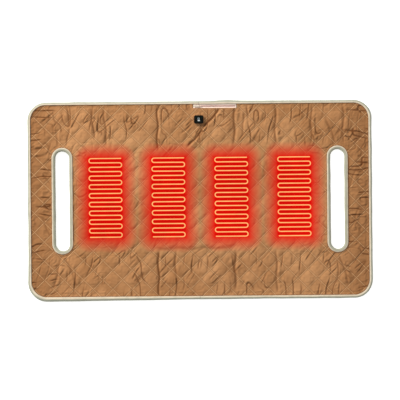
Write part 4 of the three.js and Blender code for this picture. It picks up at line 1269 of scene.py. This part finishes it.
def add_shell(material):
    """The controller's housing, with a window that the button looks out of."""
    low, high = CONTROLLER
    top, half = high[2] - low[2], (high - low) / 2
    gap_x, gap_y = (half - (BUTTON[1] - BUTTON[0]) / 2 - 0.4)[:2]
    outside = [(0.5, 0), (0.1, 0.3), (0, 0.8), (0, top - 2.2), (0.25, top - 1.3), (0.9, top - 0.5)]
    outside += [(2.0, top - 0.08), (3.0, top)]
    window = [(1.2, 0.0), (0.35, 0.12), (0.0, 0.5), (0.0, 1.6)]
    hole = [(half[0] - gap_x + g, half[1] - gap_y + g, 5.4 + g, high[2] - down) for g, down in window]
    cavity = [(half[0] - 1.6, half[1] - 1.6, 4.4, z) for z in (high[2] - 1.6, low[2])]
    levels = levels_of(low, high, 6, outside) + hole + cavity
    shape = loft((low + high)[:2] / 2, levels, True)
    nodes = ["controller_housing"]
    place_on("centre_panel", "controller_plastic", nodes, "controller_shell", shape, material)


def add_foot(material):
    """The controller's base."""
    low, high = box("controller_base")
    tall = high[2] - low[2]
    levels = levels_of(low, high, 6, [(0.5, 0), (-0.2, 0.35), (-0.2, tall - 0.5), (0.3, tall)])
    shape = loft((low + high)[:2] / 2, levels)
    nodes = ["controller_base"]
    place_on("centre_panel", "controller_plastic", nodes, "controller_foot", shape, material)


def add_button(centre):
    """The button's cap, with a sunk seat for its lens, and the lens."""
    rubber = hard_paint("button_rubber", (4, 4, 4), (9, 8, 8), 0.55, 900.0, 0.0001, Specular_IOR_Level=0.14)
    glossy = hard_paint("button_lens", (6, 6, 6), (12, 12, 13), 0.3, 200.0, 0.00003, Specular_IOR_Level=0.16)
    low, high = BUTTON[0][2], BUTTON[1][2]
    cap = [(0, 0, low + 0.4), (0, 0, high - 0.7), (-0.2, -0.2, high - 0.25), (-0.7, -0.7, high)]
    seat = [(0.55, 0.3, high), (0.2, 0.1, high - 0.25), (0.15, 0.1, LENS[0][2] - 0.1)]
    levels = square_levels(CAP_HALF, 5, cap) + square_levels(LENS_HALF, 4, seat)
    place_on("button", "controller_plastic", ["button_cap"], "button_top", loft(centre, levels), rubber)
    low, high = LENS[0][2], LENS[1][2]
    glass = [(-0.1, 0, low), (0, 0, low + 0.2), (-0.15, -0.1, high - 0.1), (-0.6, -0.5, high)]
    levels = square_levels(LENS_HALF, 4, glass)
    place_on("button", "button_lens", ["button_lens"], "lens_window", loft(centre, levels), glossy)


def band_section(half, narrow, height):
    """The section of a flat raised line."""
    return [(-half, 0), (half, 0), (narrow, height), (-narrow, height)]


def power_ring(centre, radius, half, gap, z):
    """The power sign's ring, open at the top by gap degrees to each side."""
    a = np.radians(np.linspace(90 + gap, 450 - gap, 26))
    side = np.stack([np.cos(a), np.sin(a), np.zeros(len(a))], 1)
    path = np.array([*centre, z]) + radius * side
    return sweep(path, side, (0, 0, 1), band_section(half, half * 0.85, SIGN_HEIGHT)[::-1])


def heat_wave(x, y_low, y_high, z, half=0.95, swing=0.75):
    """One wavy line of the heat sign."""
    y = np.linspace(y_low, y_high, 22)
    bend = swing * np.sin((y - y_low) / (y_high - y_low) * 2 * math.pi)
    path = np.stack([x + bend, y, np.full(len(y), z)], 1)
    ahead = unit(np.gradient(path, axis=0))
    side = np.stack([ahead[:, 1], -ahead[:, 0], np.zeros(len(y))], 1)
    return sweep(path, side, (0, 0, 1), band_section(half, half * 0.85, 0.14))


def add_signs(centre):
    """A power sign over three heat waves on the lens."""
    grey = hard_paint("sign_print", (132, 142, 140), (154, 164, 162), 0.5)
    bright = hard_paint("sign_print_bright", (196, 200, 196), (214, 218, 214), 0.5)
    cx, cy = centre
    z = LENS[1][2] - 0.03
    ring = power_ring((cx, cy + 2.6), 3.6, 0.8, 32, z)
    stroke = np.array([[cx, cy + up, z] for up in (3.2, 5.3, 7.4)])
    bar = sweep(stroke, (1, 0, 0), (0, 0, 1), band_section(0.72, 0.6, SIGN_HEIGHT))
    rising = join_parts([heat_wave(cx + d, cy - 7.3, cy - 2.6, z) for d in (-3.3, 0.0, 3.3)])
    more = {"smooth_faces": False}
    place_on("button", "button_lens", [], "power_sign", join_parts([ring, bar]), grey, **more)
    place_on("button", "button_lens", [], "heat_sign", rising, bright, **more)


# ---------- Finishes of the CAD nodes that stay ----------

STEEL = (0.3, 300.0, 0.0001, 1.0)  # roughness, grain, depth of the grain and metallic


def node_finishes(plastic, zip_metal):
    """A material for each kind of CAD node that keeps its own shape."""
    lining = [(150, 112, 78), (164, 124, 88), (134, 98, 66)]
    felt = [(66, 62, 60), (82, 76, 72), (50, 48, 47)]
    foil = ("reflective_foil", (176, 178, 182), (220, 222, 226), 0.3, 90.0, 0.001, 1.0)
    switch = hard_paint("switch_metal", (160, 160, 164), (196, 196, 200), *STEEL)
    screw = hard_paint("screw_steel", (150, 148, 146), (196, 194, 190), 0.28, *STEEL[1:])
    lead = hard_paint("lead_sleeve", (34, 34, 36), (50, 50, 52), 0.5)
    return {
        "wadding": layer_paint("wadding_fibre", (214, 210, 200), (242, 240, 234), 0.95, 260.0, 0.002),
        "film": layer_paint(*foil),
        "heater_pad": cloth_paint("heater_pad_felt", felt, 0.0006),
        "thermostat": hard_paint("thermostat_case", (198, 194, 184), (220, 216, 206), 0.45),
        "harness": lead,
        "inlet_lead": lead,
        "inlet_socket": hard_paint("inlet_metal", (150, 150, 154), (190, 190, 194), *STEEL),
        "pocket_lining": cloth_paint("pocket_lining_cloth", lining, 0.0004),
        "seal": hard_paint("seal_rubber", (20, 20, 20), (34, 34, 34), 0.8),
        "circuit_board": hard_paint("board_laminate", (18, 74, 44), (28, 96, 58), 0.35),
        "push_switch": switch,
        "led": hard_paint("led_lens", (210, 214, 206), (232, 236, 228), 0.15),
        "backplate": plastic,
        "screw": screw,
        "zip_stop": zip_metal,
    }


def paint_nodes(finishes):
    """Gives every CAD node that still shows its finish."""
    for name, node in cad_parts.items():
        kind = next((word for word in finishes if word in name), None)
        if kind and not node.hide_render:
            node.data.materials.clear()
            node.data.materials.append(finishes[kind])


# ---------- Camera, floor and light ----------


def add_camera():
    """Straight above the blanket, which lies turned by half a degree in the view."""
    data = bpy.data.cameras.new("camera")
    data.lens = 85
    data.sensor_width = 36
    camera = bpy.data.objects.new("camera", data)
    camera.location = (0, 0, 3.855)
    camera.rotation_euler = (0, 0, math.radians(-0.5))
    bpy.context.scene.collection.objects.link(camera)
    bpy.context.scene.camera = camera


def add_floor(radius=14000, sides=24):
    """A pale floor that glows a little, so that it stays white to its edges."""
    paint = Paint("floor", 0.9, Emission_Color=(1, 1, 1, 1), Emission_Strength=0.55)
    tone = paint.mix(paint.noise(paint.own(), 3.0), (0.93, 0.93, 0.925, 1), (0.96, 0.96, 0.955, 1))
    angles = np.linspace(0, 2 * math.pi, sides, endpoint=False)
    points = np.stack([radius * np.cos(angles), radius * np.sin(angles), np.full(sides, -0.3)], 1)
    place("floor", points, [tuple(range(sides))], paint.finish(tone))


def add_light(name, at, size, power, glossy=True):
    """A round area light that looks at the blanket's middle."""
    data = bpy.data.lights.new(name, "AREA")
    data.shape = "DISK"
    data.size = size
    data.energy = power
    light = bpy.data.objects.new(name, data)
    light.location = at
    light.rotation_euler = (-Vector(at)).to_track_quat("-Z", "Y").to_euler()
    light.visible_glossy = glossy
    bpy.context.scene.collection.objects.link(light)


def add_world():
    world = bpy.data.worlds.new("studio")
    world.use_nodes = True
    back = world.node_tree.nodes["Background"]
    back.inputs["Color"].default_value = (1, 1, 1, 1)
    back.inputs["Strength"].default_value = 0.42
    bpy.context.scene.world = world


def build_blanket():
    """All the pieces, and the finishes of the CAD nodes that show."""
    front_shade = crease_shade(FINE.x, FINE.y)
    cover_material = add_cover("front", FINE, FRONT, 1, front_shade)
    add_cover("back", COARSE, back_surface(BLOWN), -1, np.zeros_like(COARSE.x))
    thread_material = cloth_paint("binding_thread", THREAD, 0.0003)
    add_edge_bindings(thread_material)
    add_slot_bindings(thread_material)
    add_wires()
    add_tapes()
    add_mouth_hem(cover_material, thread_material)
    zip_metal = hard_paint("zip_metal", (216, 200, 178), (234, 222, 204), 0.42, 500.0, 0.00008, 0.15)
    add_slider(zip_metal)
    add_pull(zip_metal)
    black = {"grain": 700.0, "depth": 0.0001, "Specular_IOR_Level": 0.16}
    plastic = hard_paint("controller_plastic", (5, 4, 3), (12, 11, 10), 0.42, **black)
    add_shell(plastic)
    add_foot(plastic)
    centre = (BUTTON[0] + BUTTON[1])[:2] / 2
    add_button(centre)
    add_signs(centre)
    paint_nodes(node_finishes(plastic, zip_metal))


build_blanket()
add_camera()
add_floor()
add_world()
add_light("key", (-4.6, 4.6, 3.4), 2.4, 860, glossy=False)
add_light("fill", (1.6, -2.0, 3.6), 3.0, 30)
bpy.context.scene.view_settings.view_transform = "Standard"
